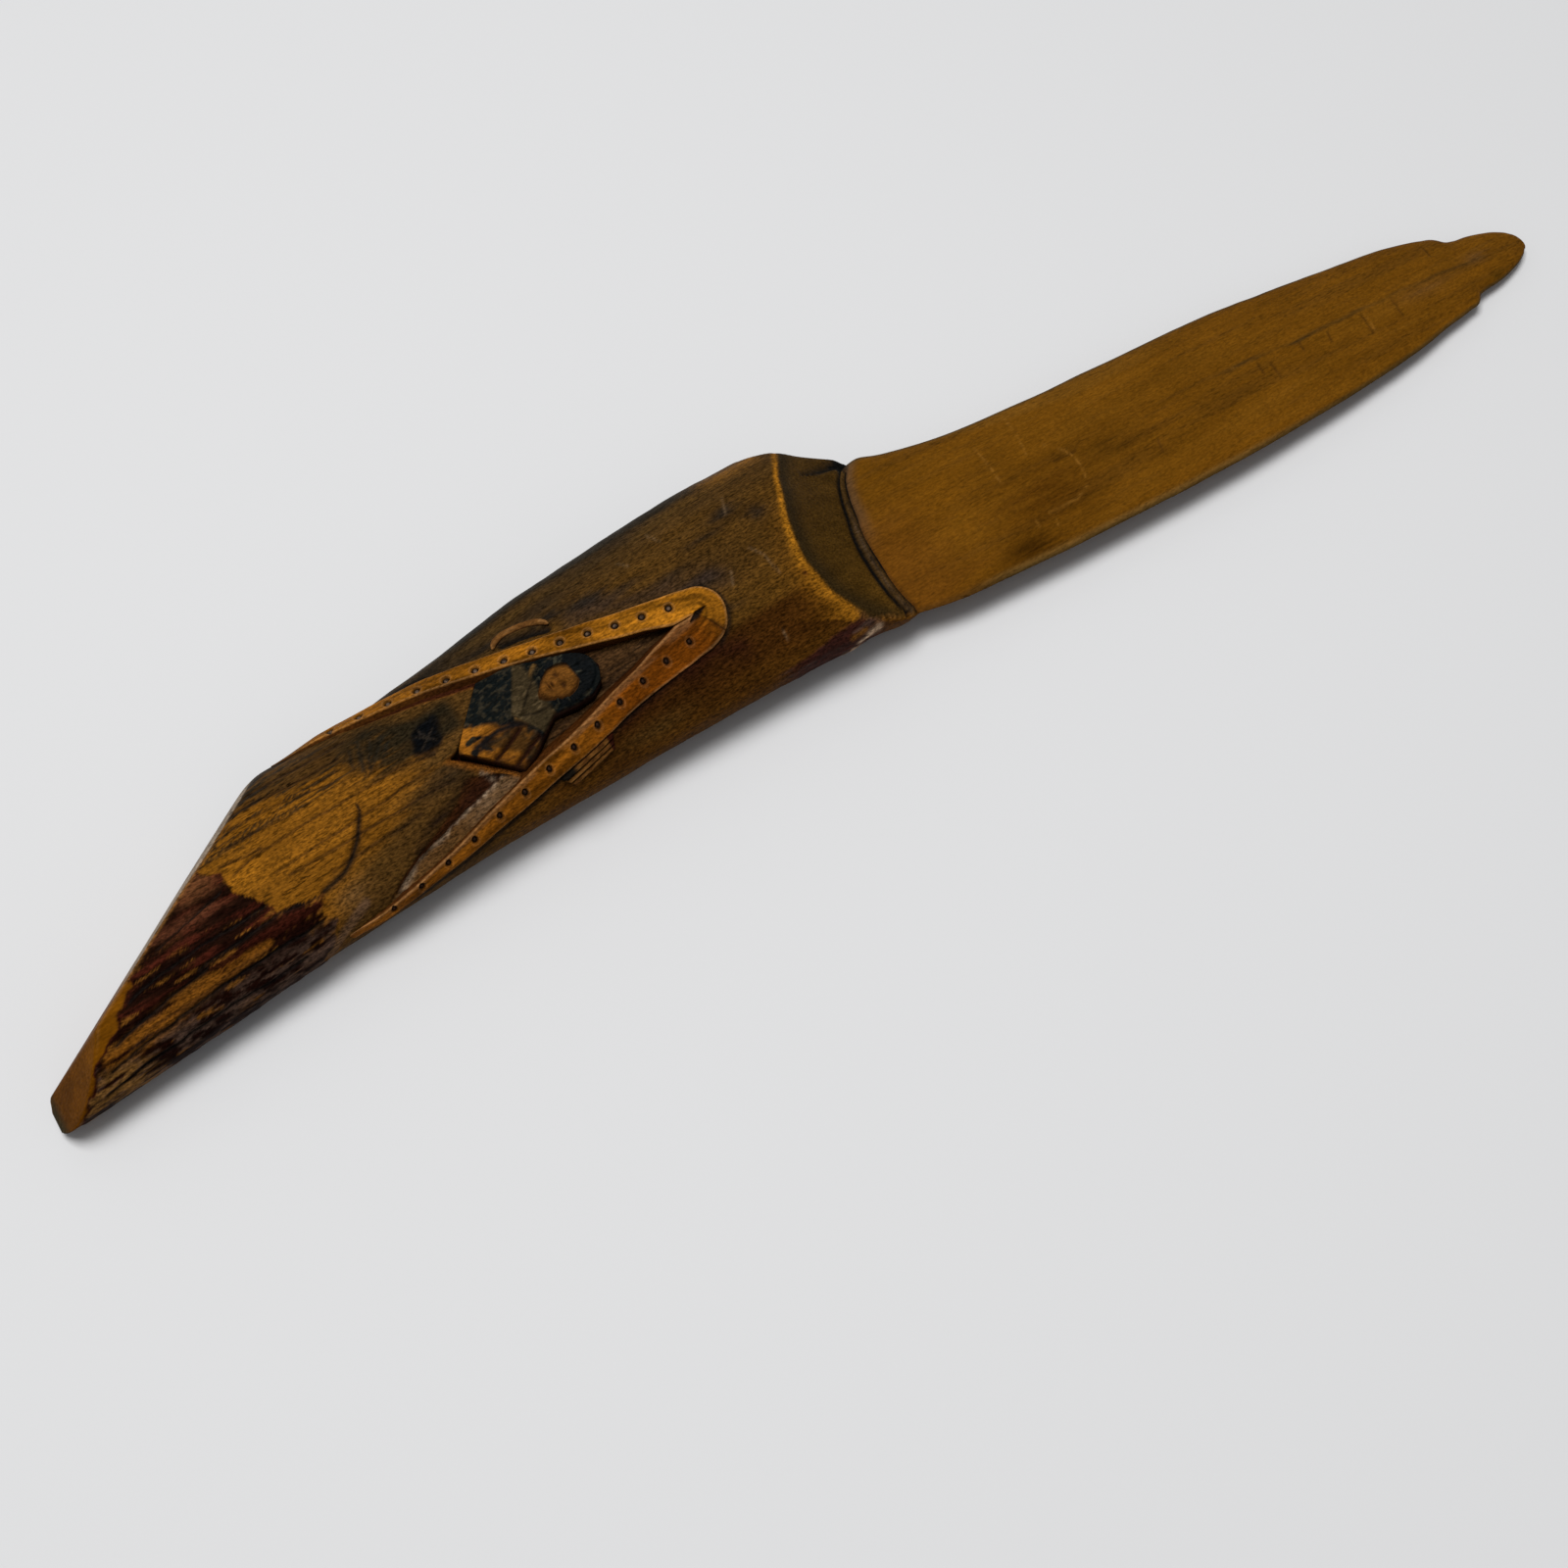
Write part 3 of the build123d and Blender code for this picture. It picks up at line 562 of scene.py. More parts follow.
handle_tint = paint(
    handle_tint,
    (olive, behind * (0.8 + 0.3 * mottle)),
    ((22, 13, 6), behind * bell(s - 62.5, 3.5) * bell(girth + 6.2, 1.8) * 0.85),
    (ochre, bare * (1 - 0.95 * ramp(angle - dark_from + 12 * mottle, -5, 9))),
    ((66, 44, 22), bare * ramp(-angle + 12 * mottle, 50, 64) * ramp(s, 40, 46) * 0.7),
    ((285, 106, 6.6), bare * glow * (0.75 + 0.4 * mottle)),
    ((10, 8.5, 5.5), hatch * 0.85),
    ((13.5, 9.4, 4.4), halo * (0.98 + 0.3 * mottle)),
    ((11, 9, 6), stroke * (0.75 + 0.4 * fine)),
)

# Blots, shade along the strips, scuffs, drying cracks and a blue-black stain with a faint star.
blot_sizes = (
    (113.6, 6.6, 2.2, 1.2, 0.8), (117, 3.6, 1.8, 1.5, 0.75), (109, 4.6, 3.5, 0.7, 0.6),
    (105.5, -2.2, 2.2, 1.6, 0.7), (90.5, 6.8, 3, 0.9, 0.8), (85.5, 7.8, 3.2, 0.9, 0.85),
    (95.5, 4.6, 3.6, 0.8, 0.6), (101.5, 1.6, 3, 0.9, 0.55), (76, 9.6, 5, 0.8, 0.7), (68, 11.4, 6, 0.9, 0.7),
    (104.5, -7.6, 3.5, 0.5, 0.5), (97, 11.5, 9, 0.8, 0.6), (91.3, 5.9, 2.4, 1.1, 0.8),
    (85.4, 10.3, 4.5, 1, 0.55), (107, 0, 6, 5, 0.22),
)
blots = [
    ((7.5, 7.5, 7), bell(s - place - 1.2 * fine, length) * bell(girth - side - 0.5 * fine, breadth) * share)
    for place, side, length, breadth, share in blot_sizes
]
shade_line = [(87.5, 5.0), (91.5, 4.2), (94.5, 2.5), (101.0, -0.1), (105.8, -1.4), (107.2, -3.0)]
above_strip = mark(s, girth, 1.6, shade_line)
outline = np.maximum(bell(below_upper + 2.15, 0.4), bell(above_lower + 1.75, 0.38))
nose_line = [(101.2, -3.4), (102.7, -4.1), (103.3, -5.3), (102.7, -6.6), (101.2, -7.3)]
nose_gap = (
    to_line(s, np.radians(angle) * strip_radius, nose_line) - np.interp(angle, (-38, -22), (2.75, 2.3))
)
scuff = mark(
    s, girth, 0.17,
    [(114.9, 8.8), (113.5, 6)], [(108.9, -3.1), (108, -5)], [(112.9, -1.2), (114, -3.5), (114.3, -6.9)],
    [(103.4, 10.4), (104, 8.1)], [(110.5, -12.5), (110.6, -13.3)], [(97.5, 9), (98.4, 7.6)],
)
spot_shape = ((s - 63.0 - 0.35 * (girth - 1.0)) / 2.3) ** 4 + ((girth - 1.0) / 3.3) ** 4
spot = ramp(1.0 - spot_shape + 0.35 * cloud(s / 1.3, girth / 1.0, 29) + 0.3 * fine, -0.3, 0.9)
star_lines = [(61.6, -0.4), (64.2, 1.9)], [(61.9, 2.3), (63.9, -0.3)], [(62.9, 0.9), (62.6, 3.0)]
star = mark(s, girth, 0.16, *star_lines)
handle_tint = paint(
    handle_tint,
    *blots,
    ((27, 16.5, 11.5), above_strip * (0.6 + 0.5 * mottle)),
    (soot, outline * ramp(s, 46, 54) * ramp(101 - s, 0, 2) * 0.85),
    (soot, bell(nose_gap, 0.3) * ramp(s, 101, 103) * 0.8),
    (soot, hand_gap * 0.95),
    ((170, 105, 52), scuff * (0.32 + 0.25 * fine)),
    ((12, 6, 3.5), crack * (0.75 + 0.3 * fine)),
    (soot, crease * 0.97),
    ((1.2, 2, 3), spot * 0.98),
    ((30, 22, 15), star * spot * 0.5),
)

# The sunk panel, the bevel under the coat, the groove beside the near strip with a painted shadow along its
# rim, and the ledge beside the far one.
# Painted shadow along the rim of the groove, outside it.
shadow_line = [(64.3, -8.2), (60.5, -9.9), (57.5, -10.8), (54.5, -12.3)]
shadow_beside_trench = mark(s, girth, 0.85, shadow_line) * (1 - ramp(wall, 0.3, 0.6) * trench_here)
bank_here = trench_here * ramp(1.0 - bank, 0.0, 0.12) * ramp(wall, 0.5, 0.9)
chip = bell(above_lower - foot_at - 0.25 * cloud(s / 2.0, s * 0, 25), 0.17) * trench_here
chip_top = to_line(s + 0.5 * fine, girth, [(66.4, -8.4), (67.3, -9.4), (67.3, -10.6)])
chip = np.maximum(chip, 0.75 * bell(chip_top, 0.32))
handle_tint = paint(
    handle_tint,
    ((43, 20, 7), sunk),
    ((12, 6, 3.2), sunk * ramp(cloud(s / 6.0, girth / 0.45, 24), 0.0, 0.35) * 0.8),
    ((88, 44, 17), sunk * ramp(cloud(s / 3.0, girth / 0.3, 30), 0.3, 0.6) * 0.7),
    ((150, 50, 6.2), base_bevel * (0.85 + 0.3 * fine)),
    ((16, 3.5, 2.2), base_groove),
    ((48, 15, 4), trench_here * ramp(wall, 0.02, 0.25) * ramp(bank, 0.9, 1.0)),
    ((17, 5.5, 3), trench_here * ramp(wall, 0.2, 0.6) * ramp(bank, 0.9, 1.0) * ramp(s, 54, 64)
        * 0.8),
    ((11, 5.5, 2.8), shadow_beside_trench * (0.7 + 0.5 * dashes)),
    ((72, 33, 10), bank_here * (0.85 + 0.3 * fine)),
    ((120, 72, 38), bank_here * ramp(s, 60, 66) * (0.5 + 0.4 * fine)),
    ((220, 155, 100), chip * ramp(cloud(s / 0.55, girth / 0.5, 31), -0.7, 0.2) * 0.9),
    ((34, 8.5, 3.5), ramp(ledge, 0.05, 0.4) * 0.95),
    ((150, 55, 10), bell(ledge - 0.12, 0.12) * (ledge > 0) * 0.6),
)

# Bark tint: maroon and black in streaks, with gold wood between them and a grey-purple rim on the near side.
bark_patch = cloud(s / 5.0, girth / 1.3, 15)
brown_band = bell(girth + 4.6 - 0.5 * mottle, 1.2) * ramp(s, 17, 22) * ramp(33 - s, 0, 3)
ticks = np.maximum(ticks * (1 - bark), 0.35 * bark)
tan_wedge = bell(to_line(s, girth, [(38.6, -17.6), (41.5, -15.6), (45.5, -14.0)]), 0.62, 4)
handle_tint = paint(
    handle_tint,
    ((7.5, 2, 1.2), bark),
    ((46, 8.5, 4.2), bark * ramp(bark_streak + 0.7 * bark_patch + 0.25 * fine, -0.1, 0.5)
        * ramp(60 + angle, -6, 10)),
    ((68, 22, 9.5), bark * brown_band * ramp(bark_patch + 0.4 * dashes + 0.3, 0, 0.5) * 0.85),
    ((94, 34, 12), bark * bell(s - 28.6, 3.0, 4) * bell(girth - 0.2, 2.3, 4)
        * (0.85 + 0.3 * dashes)),
    ((150, 58, 8), bark * ramp(dashes, 0.28, 0.5) * ramp(-angle, 20, 50) * 0.8),
    ((60, 34, 23), bark * ramp(-angle, 66, 78) * ramp(fine + 0.5 * dashes, -0.2, 0.3) * 0.9),
    ((128, 45, 4.8), bark * gold * ramp(dashes + 0.3, 0, 0.35)),
    ((45, 16.5, 4), bark * gold * ramp(cloud(s / 7.0, girth / 0.35, 18), 0.05, 0.3) * 0.8),
    ((160, 75, 18), bark * ramp(16 - s, 0, 6) * ramp(-angle, 70, 80) * ramp(dashes + 0.2, 0, 0.3)
        * 0.85),
    (soot, bark_crack * bark * 0.95),
    ((98, 52, 26), tan_wedge * (0.85 + 0.25 * dashes)),
)

# Near the collar's lower end some bark is left too, chipped to pale wood at the rim.
pale_chip = np.maximum(
    mark(s, girth, 0.5, [(123.6, -17.0), (122.1, -17.2), (120.4, -17.9)]),
    mark(s, girth, 0.4, [(120, -18.2), (118, -18.8)]),
)
sliver = mark(s, girth, 0.35, [(121.4, -16.3), (119.2, -16.4)])
handle_tint = paint(
    handle_tint,
    ((30, 8.5, 6.6), near_bark * 0.95),
    ((75, 46, 36), near_bark * ramp(dashes, 0.2, 0.5) * 0.7),
    ((400, 270, 170), pale_chip * ramp(fine, -0.5, 0.1)),
    ((160, 62, 8), sliver * 0.9),
)

# The ridge is worn to orange, with a painted highlight on its far rim; the slope is smooth and olive,
# darkened with painted shade that is deepest just below the ridge, with dark lines beside a bead at the seam.
warm = bell(slope - skin - 0.6, 2.2) * ramp(s, 108, 116) * ramp(40 - angle, 0, 40)
bare_ridge = 1 - 0.95 * near_bark
worn = ridge * (0.85 + 0.4 * fine) * ramp(70 - angle, 0, 20) * bare_ridge
near_rim = ramp(s, 120.6, 122.2) * ramp(-angle, 50, 66)
worn = worn * (1 - near_rim)
# Painted highlight along the far rim of the collar, where the surface turns away from view.
far_rim_highlight = bell(angle - 66, 7) * ramp(s, 112, 118) * ramp(124.5 - s, 0, 2)
red_dot = bell(s - 117.3, 0.3) * bell(girth + 8.5, 0.35)
slope_here = ramp(skin - slope, 0.1, 0.6)
flecks = ramp(cloud(s / 0.7, slope_y / 1.3, 19), 0.1, 0.45)
ticks = ticks * (1 - slope_here) - 0.5 * slope_here
handle_tint = paint(
    handle_tint,
    ((115, 44, 3.5), warm * (0.35 + 0.6 * ramp(-angle, 20, 60)) * bare_ridge),
    (orange, worn * (1 - 0.45 * ramp(-angle, 20, 50))),
    ((105, 50, 14), ridge * near_rim * 0.7),
    ((200, 82, 8), far_rim_highlight * (0.55 + 0.4 * fine)),
    ((30, 6, 3), red_dot),
    # Olive of the smooth slope, darkened as painted shade too, and more painted shade just below the ridge.
    ((47, 22.5, 3.2), slope_here),
    ((21, 12.5, 3.8), slope_here * bell(skin - slope - 1.0, 1.5) * 0.9),
    ((70, 32, 4), slope_here * ramp(-slope_y, 2, 12) * ramp(down, 0.45, 0.95) * 0.75),
    ((54, 33, 18), slope_here * bead * (0.75 + 0.5 * fine) * (1 - 0.6 * ramp(slope_y, 0, 4))),
    ((6, 5, 4.5), slope_here * bead * flecks * 0.8),
    ((4, 3.6, 3.4), slope_here * lip * 1.3),
    ((4, 3.6, 3.4), slope_here * bell(over_blade, 0.17) * 1.2),
    ((3, 3, 2.6), slope_here * np.sqrt(collar_crack)),
)

# The butt: a smooth ochre facet inside the zigzag, a pale sawn face, and a dark olive end.
facet = np.maximum(ramp(-past_facet, -0.1, 0.25) * ramp(30 - s, 0, 4), sawn_here * ramp(24 - s, 0, 10))
sawn_wood = sawn_here * ramp(s - 12, 0, 8)
from_pith = np.hypot(
    (handle_points[..., 1] - offset) / half_width, (handle_points[..., 2] - heart) / half_height,
)
growth_ring = ramp(np.cos(2 * np.pi * 8 * from_pith + 0.8 * mottle), 0.3, 0.95)
ticks = ticks * (1 - facet) - 0.9 * facet
handle_tint = paint(
    handle_tint,
    ((90, 29, 0.3), facet),
    ((122, 42, 1.6), facet * ramp(s, 2, 12) * (0.85 + 0.2 * mottle)),
    ((16, 2.8, 1.8), bell(past_facet, 0.3) * ramp(-angle, 30, 38) * (1 - sawn_here)),
    ((250, 190, 135), sawn_wood),
    ((135, 85, 48), growth_ring * sawn_wood * 0.55),
    ((200, 88, 22), sawn_edge * (1 - sawn_here) * ramp(36 - s, 0, 8) * ramp(s, 8, 12) * 0.7),
    ((18, 19, 9), ramp(1.6 - s, 0, 1.4) * 0.85),
    ((100, 45, 8), ramp(0.4 - handle_points[..., 2], 0, 0.3)),
)

handle_wood = varnished_wood("handle_wood", 0.28, 0.6, 0.45, 0.25)
handle = make_piece("handle_carved", handle_points, handle_tint, ticks)
handle.data.materials.append(handle_wood)
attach(handle, "root")
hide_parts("handle")


# Blade: a flat leaf of the same wood, scarfed on to the slope, shaved to a lens and worn smooth.
# It stands clear of the table at its root and comes down towards its tip, where both edges are nicked.
blade_along = spread(490, (118, 128, 140, 225, 235, 248.75), (0.5, 1.2, 1.0, 1.0, 1.6, 2.6))
swing = np.concatenate([np.linspace(-90, 90, 100), np.linspace(90, -90, 62)[1:-1]])
face = np.concatenate([np.ones(100), -np.ones(60)])
bs, swing = np.meshgrid(blade_along, swing, indexing="ij")
across = np.sin(np.radians(swing))
by, bz = blade_section(bs, across, face[None, :])
ripple = 0.1 * cloud(bs / 16.0, by / 6.0, 31) + 0.035 * cloud(bs / 3.0, by / 1.4, 32)
bz = bz + face * ripple * (1 - across**8)
by = by + 0.12 * cloud(bs / 6.0, bs * 0 + np.sign(across), 33) * np.abs(across) ** 6
fibre_slope = 0.042
fibre_line = by + 6.4 + fibre_slope * (bs - 160)
scratch = (face > 0) * mark(
    bs, by, 0.2, [(222.1, -9.6), (221.5, -12.9)], [(216, -9.4), (215.3, -12.9)],
    [(209.3, -9.3), (208.6, -11.1)], [(204.3, -8.5), (203.9, -10.1)], [(198, -9.4), (197.7, -12)],
    [(196.3, -8.4), (195.9, -10.3)], [(175.1, -11.1), (174.5, -13)], [(233.9, -4.3), (233.5, -6.1)],
    [(160.1, -5.9), (162.3, -6.3), (163.8, -6.2)],
)
scrape = (face > 0) * mark(
    bs, by, 0.17, [(159.6, 4.5), (159, 1.4), (158.1, -1.6), (157.6, -3.1)],
    [(152.5, 2.6), (152.2, -0.4), (151.7, -4.5)],
    [(160.8, -2.7), (162.3, -4.7), (163.1, -6.8), (163, -8.8), (162.4, -10.4)],
    [(154.7, -13.7), (154.5, -14.5)], [(161.6, -11.8), (159.4, -12.6), (156.2, -12.6), (154.5, -12.4)],
    [(152.1, -12.5), (151.9, -13.4)], [(216.5, -9.6), (215.8, -12.9)], [(192.6, -7), (193, -7.4)],
)
bz = bz - 0.12 * scratch + 0.06 * scrape
blade_points = np.stack([bs, by, bz], -1)

streak = cloud(bs / 24.0, fibre_line / 1.1, 34)
thread = cloud(bs / 9.0, fibre_line / 0.35, 35)
stain_sizes = (
    (156, -10.2, 7.5, 3.9, (52, 18, 1.2), 0.85), (148.8, -15.2, 4.2, 1.9, (26, 9.5, 0.8), 0.95),
    (172, -9, 5, 2.1, (56, 22, 2), 0.75), (167, -7.8, 3.2, 1.4, (50, 20, 1.6), 0.75),
    (142.2, -1, 5, 3, (155, 58, 3), 0.6), (228, -10.8, 5, 1.2, (110, 52, 15), 0.5),
    (239.3, -10, 2.2, 0.9, (68, 38, 16), 0.6), (240.4, -14.2, 1.6, 0.7, (30, 17, 2), 0.7),
    (186, -3, 12, 2, (145, 58, 4), 0.5), (180, -15, 14, 1.5, (140, 55, 3.6), 0.5),
)
stained = (0.8 + 0.6 * thread) * (face > 0)
stains = [
    (
        colour,
        bell(bs - place - 1.5 * thread, length)
        * bell(by - side + fibre_slope * (bs - place) - 0.5 * streak, breadth) * share * stained,
    )
    for place, side, length, breadth, colour, share in stain_sizes
]
far_band = by - np.interp(bs, (150, 157, 165, 172, 190), (7.0, 4.6, 2.9, 1.6, 1.2))
centre_at = smooth_run(
    bs, (185, 196, 206, 220, 231, 239, 248), (-6.2, -7.4, -8.3, -8.9, -9.6, -10.5, -11.0),
)
centre_line = (
    bell(by - centre_at - 0.3 * cloud(bs / 4.0, bs * 0, 36), 0.3) * ramp(bs, 184, 194) * (face > 0)
)
chatter = (
    ramp(cloud(bs / 0.7, by / 1.9, 38), 0.12, 0.5)
    * ramp(streak + 0.4 * cloud(bs / 9.0, by / 4.0, 39), -0.1, 0.5)
)
# A thin painted highlight along the near edge of the upper face.
near_edge_highlight = bell(across + 0.955, 0.025) * ramp(bs, 136, 144) * ramp(205 - bs, 0, 30) * (face > 0)
behind_slope = blade_top(bs, by) - slope_height(bs, by)[0]
blade_tint = paint(
    ground(bs, (120, 46, 2.8)),
    ((145, 58, 4.2), ramp(streak, 0.0, 0.6) * 0.5),
    ((78, 33, 4.5), ramp(-streak, 0.05, 0.55) * 0.38),
    ((60, 27, 5), ramp(thread, 0.2, 0.7) * 0.25),
    *stains,
    ((142, 60, 6), ramp(far_band, 0, 0.9) * ramp(bs, 143, 152) * ramp(200 - bs, 0, 25) * 0.6),
    ((42, 22, 5.5), centre_line * (0.55 + 0.7 * cloud(bs / 5.0, bs * 0 + 3, 37))),
    ((70, 26, 2.2), chatter * 0.3),
    ((50, 20, 3), scratch * 0.75),
    ((235, 102, 14), scrape * ramp(thread, -0.4, 0.3) * 0.62),
    ((45, 30, 10), ramp(np.abs(across), 0.93, 0.99) * 0.75),
    ((165, 85, 20), near_edge_highlight * 0.55),
    ((6, 5, 4), ramp(0.32 - behind_slope, 0, 0.3) * (0.8 + 0.2 * thread)),
    # A grey painted highlight on the blade's root, just ahead of the seam.
    ((78, 48, 28), bell(behind_slope - 0.4, 0.55) * ramp(by, -6, 2) * 0.5),
    ((110, 38, 4), ramp(7.0 - behind_slope, 0, 6) * ramp(-by, -6, 6) * 0.6),
)

blade_ticks = 0.16 + 0.22 * ramp(-streak, -0.1, 0.5)
blade_wood = varnished_wood("blade_wood", 0.14, 0.2, 0.4, 0.2)
blade = make_piece("blade_leaf", blade_points, blade_tint, blade_ticks)
blade.data.materials.append(blade_wood)
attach(blade, "root")
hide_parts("blade")


# Strips: two narrow laths that meet in a round nose and part like a hairpin, each let into the branch.
# Crisp edges, a flat top worn to bright honey, a leaf-shaped slot at the nose and a shallow ring at each pin
# with a painted highlight round it.
def unrolled(line):
    """A line of places and angles as places and arcs in mm, and the run along it up to each point."""
    line = np.array(line) * (1, np.radians(strip_radius))
    return line, np.concatenate([[0], np.cumsum(np.hypot(*np.diff(line, axis=0).T))])


def beside(line, reach, run, side, lift):
    """The point run mm along an unrolled line, side mm to the left of it and lift mm above the skin."""
    place, arc = [smooth_run(run, reach, column) for column in line.T]
    ahead, aside = [
        smooth_run(run + 0.05, reach, column) - smooth_run(run - 0.05, reach, column) for column in line.T
    ]
    size = np.hypot(ahead, aside)
    place, arc = place - side * aside / size, arc + side * ahead / size
    return on_branch(place, np.degrees(arc / strip_radius), lift)


nose_middle = [(102.7, -22.4), (103.3, -29.1), (102.7, -35.8)]
hairpin, knots = unrolled(upper_middle + nose_middle + lower_middle)
seam_knot = knots[len(upper_middle) + 2] + 0.4
pin_count = 13
crowding = 0.65 * np.sin(np.linspace(0, np.pi, pin_count))
upper_pin_knots = np.linspace(knots[1] + 0.1, knots[12] + 0.1, pin_count) + crowding
lower_pin_knots = np.linspace(knots[len(upper_middle) + 4] - 0.1, knots[-2], pin_count) - crowding
strip_outer = (
    (0, 0.15), (1, 0.95), (2, 1.4), (3, 1.8), (7, 1.9), (9, 1.95), (12, 2.05), (13, 1.95),
    (15, 2.25), (16, 2.45), (17, 2.4), (18, 2.0), (20, 1.65), (22, 1.5), (24, 1.4),
    (26, 1.2), (28, 0.95), (31, 0.6), (-1, 0.5),
)
strip_inner = (
    (0, 0.15), (1, 0.6), (2, 0.7), (4, 0.8), (6, 1.0), (7, 1.15), (8, 1.6), (9, 1.85),
    (11, 2.1), (12, 2.56), (13, 2.0), (15, 2.0), (17, 2.0), (18, 2.56),
    (19, 2.1), (20, 1.55), (22, 1.25), (23, 1.15), (25, 1.1), (28, 0.55),
    (31, 0.4), (-1, 0.4),
)


def strip_width(run, table):
    """Half width of a strip along its run, on straight lines between the knots that the table numbers."""
    numbers, widths = zip(*table)
    return np.interp(run, knots[list(numbers)], widths)


def make_strip(name, start, end, pin_knots, lower):
    """A lath along part of the hairpin: flat top, round arrises, straight sides, a round sink at each pin."""
    top = np.sin(np.linspace(-np.pi / 2, np.pi / 2, 30)) * 0.15 + np.linspace(-1, 1, 30) * 0.85
    lath = np.concatenate([[-1.04, -1.03, -1.01], top, [1.01, 1.03, 1.04]])
    height = np.concatenate([[-2.4, -0.9, 0.26], 0.62 - 0.22 * np.abs(top) ** 12, [0.26, -0.9, -2.4]])
    run, across = np.meshgrid(np.linspace(start, end, 430), lath, indexing="ij")
    lift = np.broadcast_to(height, run.shape)
    half = np.where(across > 0, strip_width(run, strip_outer), strip_width(run, strip_inner))
    side = across * half
    flat = np.abs(across) <= 1
    ring = np.full(run.shape, 9.0)
    for knot in pin_knots:
        ring = np.minimum(ring, np.hypot(run - knot, side))
    sink = ramp((0.5 if lower else 0.64) - ring, 0, 0.14)
    place = beside(hairpin, knots, run, side, 0)
    slot_line = [(100.2, -3.5), (101.7, -3.0), (103.2, -2.65)]
    slot_half = 0.56 - 0.27 * np.abs(place[..., 0] - 101.5)
    slot = ramp(slot_half - to_line(place[..., 0], place[..., 1], slot_line), 0, 0.2)
    tail = ramp(np.minimum(run / 1.3, knots[-1] - run), 0.0, 6.0)
    worn = 0.06 * cloud(run / 2.5, side / 1.2, 41) + 0.05 * cloud(run / 9.0, side / 3.0, 42)
    lift = np.where(lift > 0, (lift + worn) * (0.04 + 0.96 * tail) - 0.4 * sink - 0.5 * slot, lift)
    points = beside(hairpin, knots, run, side, lift)
    tone = cloud(run / 6.0, side / 0.7, 43)
    tint = ground(run, (135, 44, 3.2) if lower else (155, 56, 3.6))
    if lower:
        tint = paint(
            tint,
            ((98, 25, 1.4), ramp(knots[22] - run, -6, 6) * ramp(run - seam_knot, -1.5, 3.0) * 0.9),
        )
    else:
        tint = paint(
            tint,
            ((225, 83, 5), ramp(run, knots[8], knots[11]) * ramp(seam_knot - run, -1.0, 4.0)),
        )
    tint = tint * (1 + 0.55 * ramp(tone, 0.0, 0.5) - 0.5 * ramp(-tone, 0.1, 0.5))[..., None]
    if lower:
        tint = paint(
            tint,
            ((125, 58, 22), ramp(-across, 0.4, 0.65) * flat * ramp(tone, -0.5, 0.2) * 0.6),
        )
    tint = paint(
        tint,
        ((300, 150, 55), bell(np.abs(across) - 0.93, 0.06) * flat * 0.5),
        # A painted highlight round the rim of each pin's sink.
        ((300, 150, 55), bell(ring - (0.6 if lower else 0.74), 0.1) * flat
            * (0.15 if lower else 0.3)),
        ((75, 45, 20), ramp(7.0 - run, 0, 6.0) * 0.7),
        ((8.5, 4.5, 2.8), sink * flat),
        ((8, 4.5, 3), slot),
        ((35, 11, 3), np.where(flat, 0, 0.9)),
        ((40, 15, 4), bell(run - seam_knot, 0.2) * ramp(side, -0.6, 0.4) * 0.8),
    )
    strip = make_piece(name, points, tint)
    strip.data.materials.append(strip_wood)
    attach(strip, "root")
    return strip


strip_wood = varnished_wood("strip_wood", 0.2, 0.42, 0.4, 0.3)
upper_strip = make_strip("strip_upper", 0.0, seam_knot, upper_pin_knots, False)
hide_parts("upper_strip")
lower_strip = make_strip("strip_lower", seam_knot + 0.03, knots[-1], lower_pin_knots, True)
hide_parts("lower_strip")


# Pins: thirteen small brads through each strip, driven nearly level and dulled to a dark brown-grey.
# Each head is a low dome with a burred rim, in its own ring-shaped sink.
def make_pins(name, pin_knots, size, middle):
    """Circles round each pin's middle: a shank, a rim level with the strip, a groove in it and a low dome."""
    radii = np.array([0.5, 0.53, 0.53, 0.5, 0.46, 0.42, 0.37, 0.33, 0.25, 0.14, 0.03])
    lifts = np.array([-1.6, -0.2, 0.28, 0.34, 0.3, 0.2, 0.2, 0.36, 0.46, 0.5, 0.52])
    spin = np.radians(np.arange(0, 360, 20))
    pieces = []
    for knot in pin_knots:
        run = knot + size * radii[:, None] * np.cos(spin)
        side = size * radii[:, None] * np.sin(spin)
        lift = np.broadcast_to(lifts[:, None], run.shape) - 0.06
        pieces.append(beside(hairpin, knots, run, side, lift))
    centre = np.broadcast_to(ramp(0.36 - radii, 0, 0.08)[:, None], (len(radii), len(spin)))
    shells = [
        make_piece(f"{name}_{number}", points[:, ::-1], pin_tint(points, centre, middle))
        for number, points in enumerate(pieces)
    ]
    with bpy.context.temp_override(active_object=shells[0], selected_editable_objects=shells):
        bpy.ops.object.join()
    pins = shells[0]
    pins.name = name
    pins.data.materials.append(pin_metal)
    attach(pins, "root")
    return pins


def pin_tint(points, centre, middle):
    """A dull brown-grey middle in a nearly black rim, mottled by a slow noise."""
    tone = cloud(points[..., 0] * 3.0, points[..., 1] * 3.0, 51)
    dulled = centre * ramp(-tone, 0, 0.5) * 0.8
    return paint(ground(tone, (6.5, 4.2, 3)), (middle, centre), ((16, 10, 7), dulled))


pin_metal = varnished_wood("pin_metal", 0.12, 0.25, 0.5, 0.3, 0.3)
upper_pins = make_pins("pins_upper", upper_pin_knots, 1.0, (105, 70, 48))
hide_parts("upper_strip_pins")
lower_pins = make_pins("pins_lower", lower_pin_knots, 0.74, (22, 11, 7))
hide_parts("lower_strip_pins")


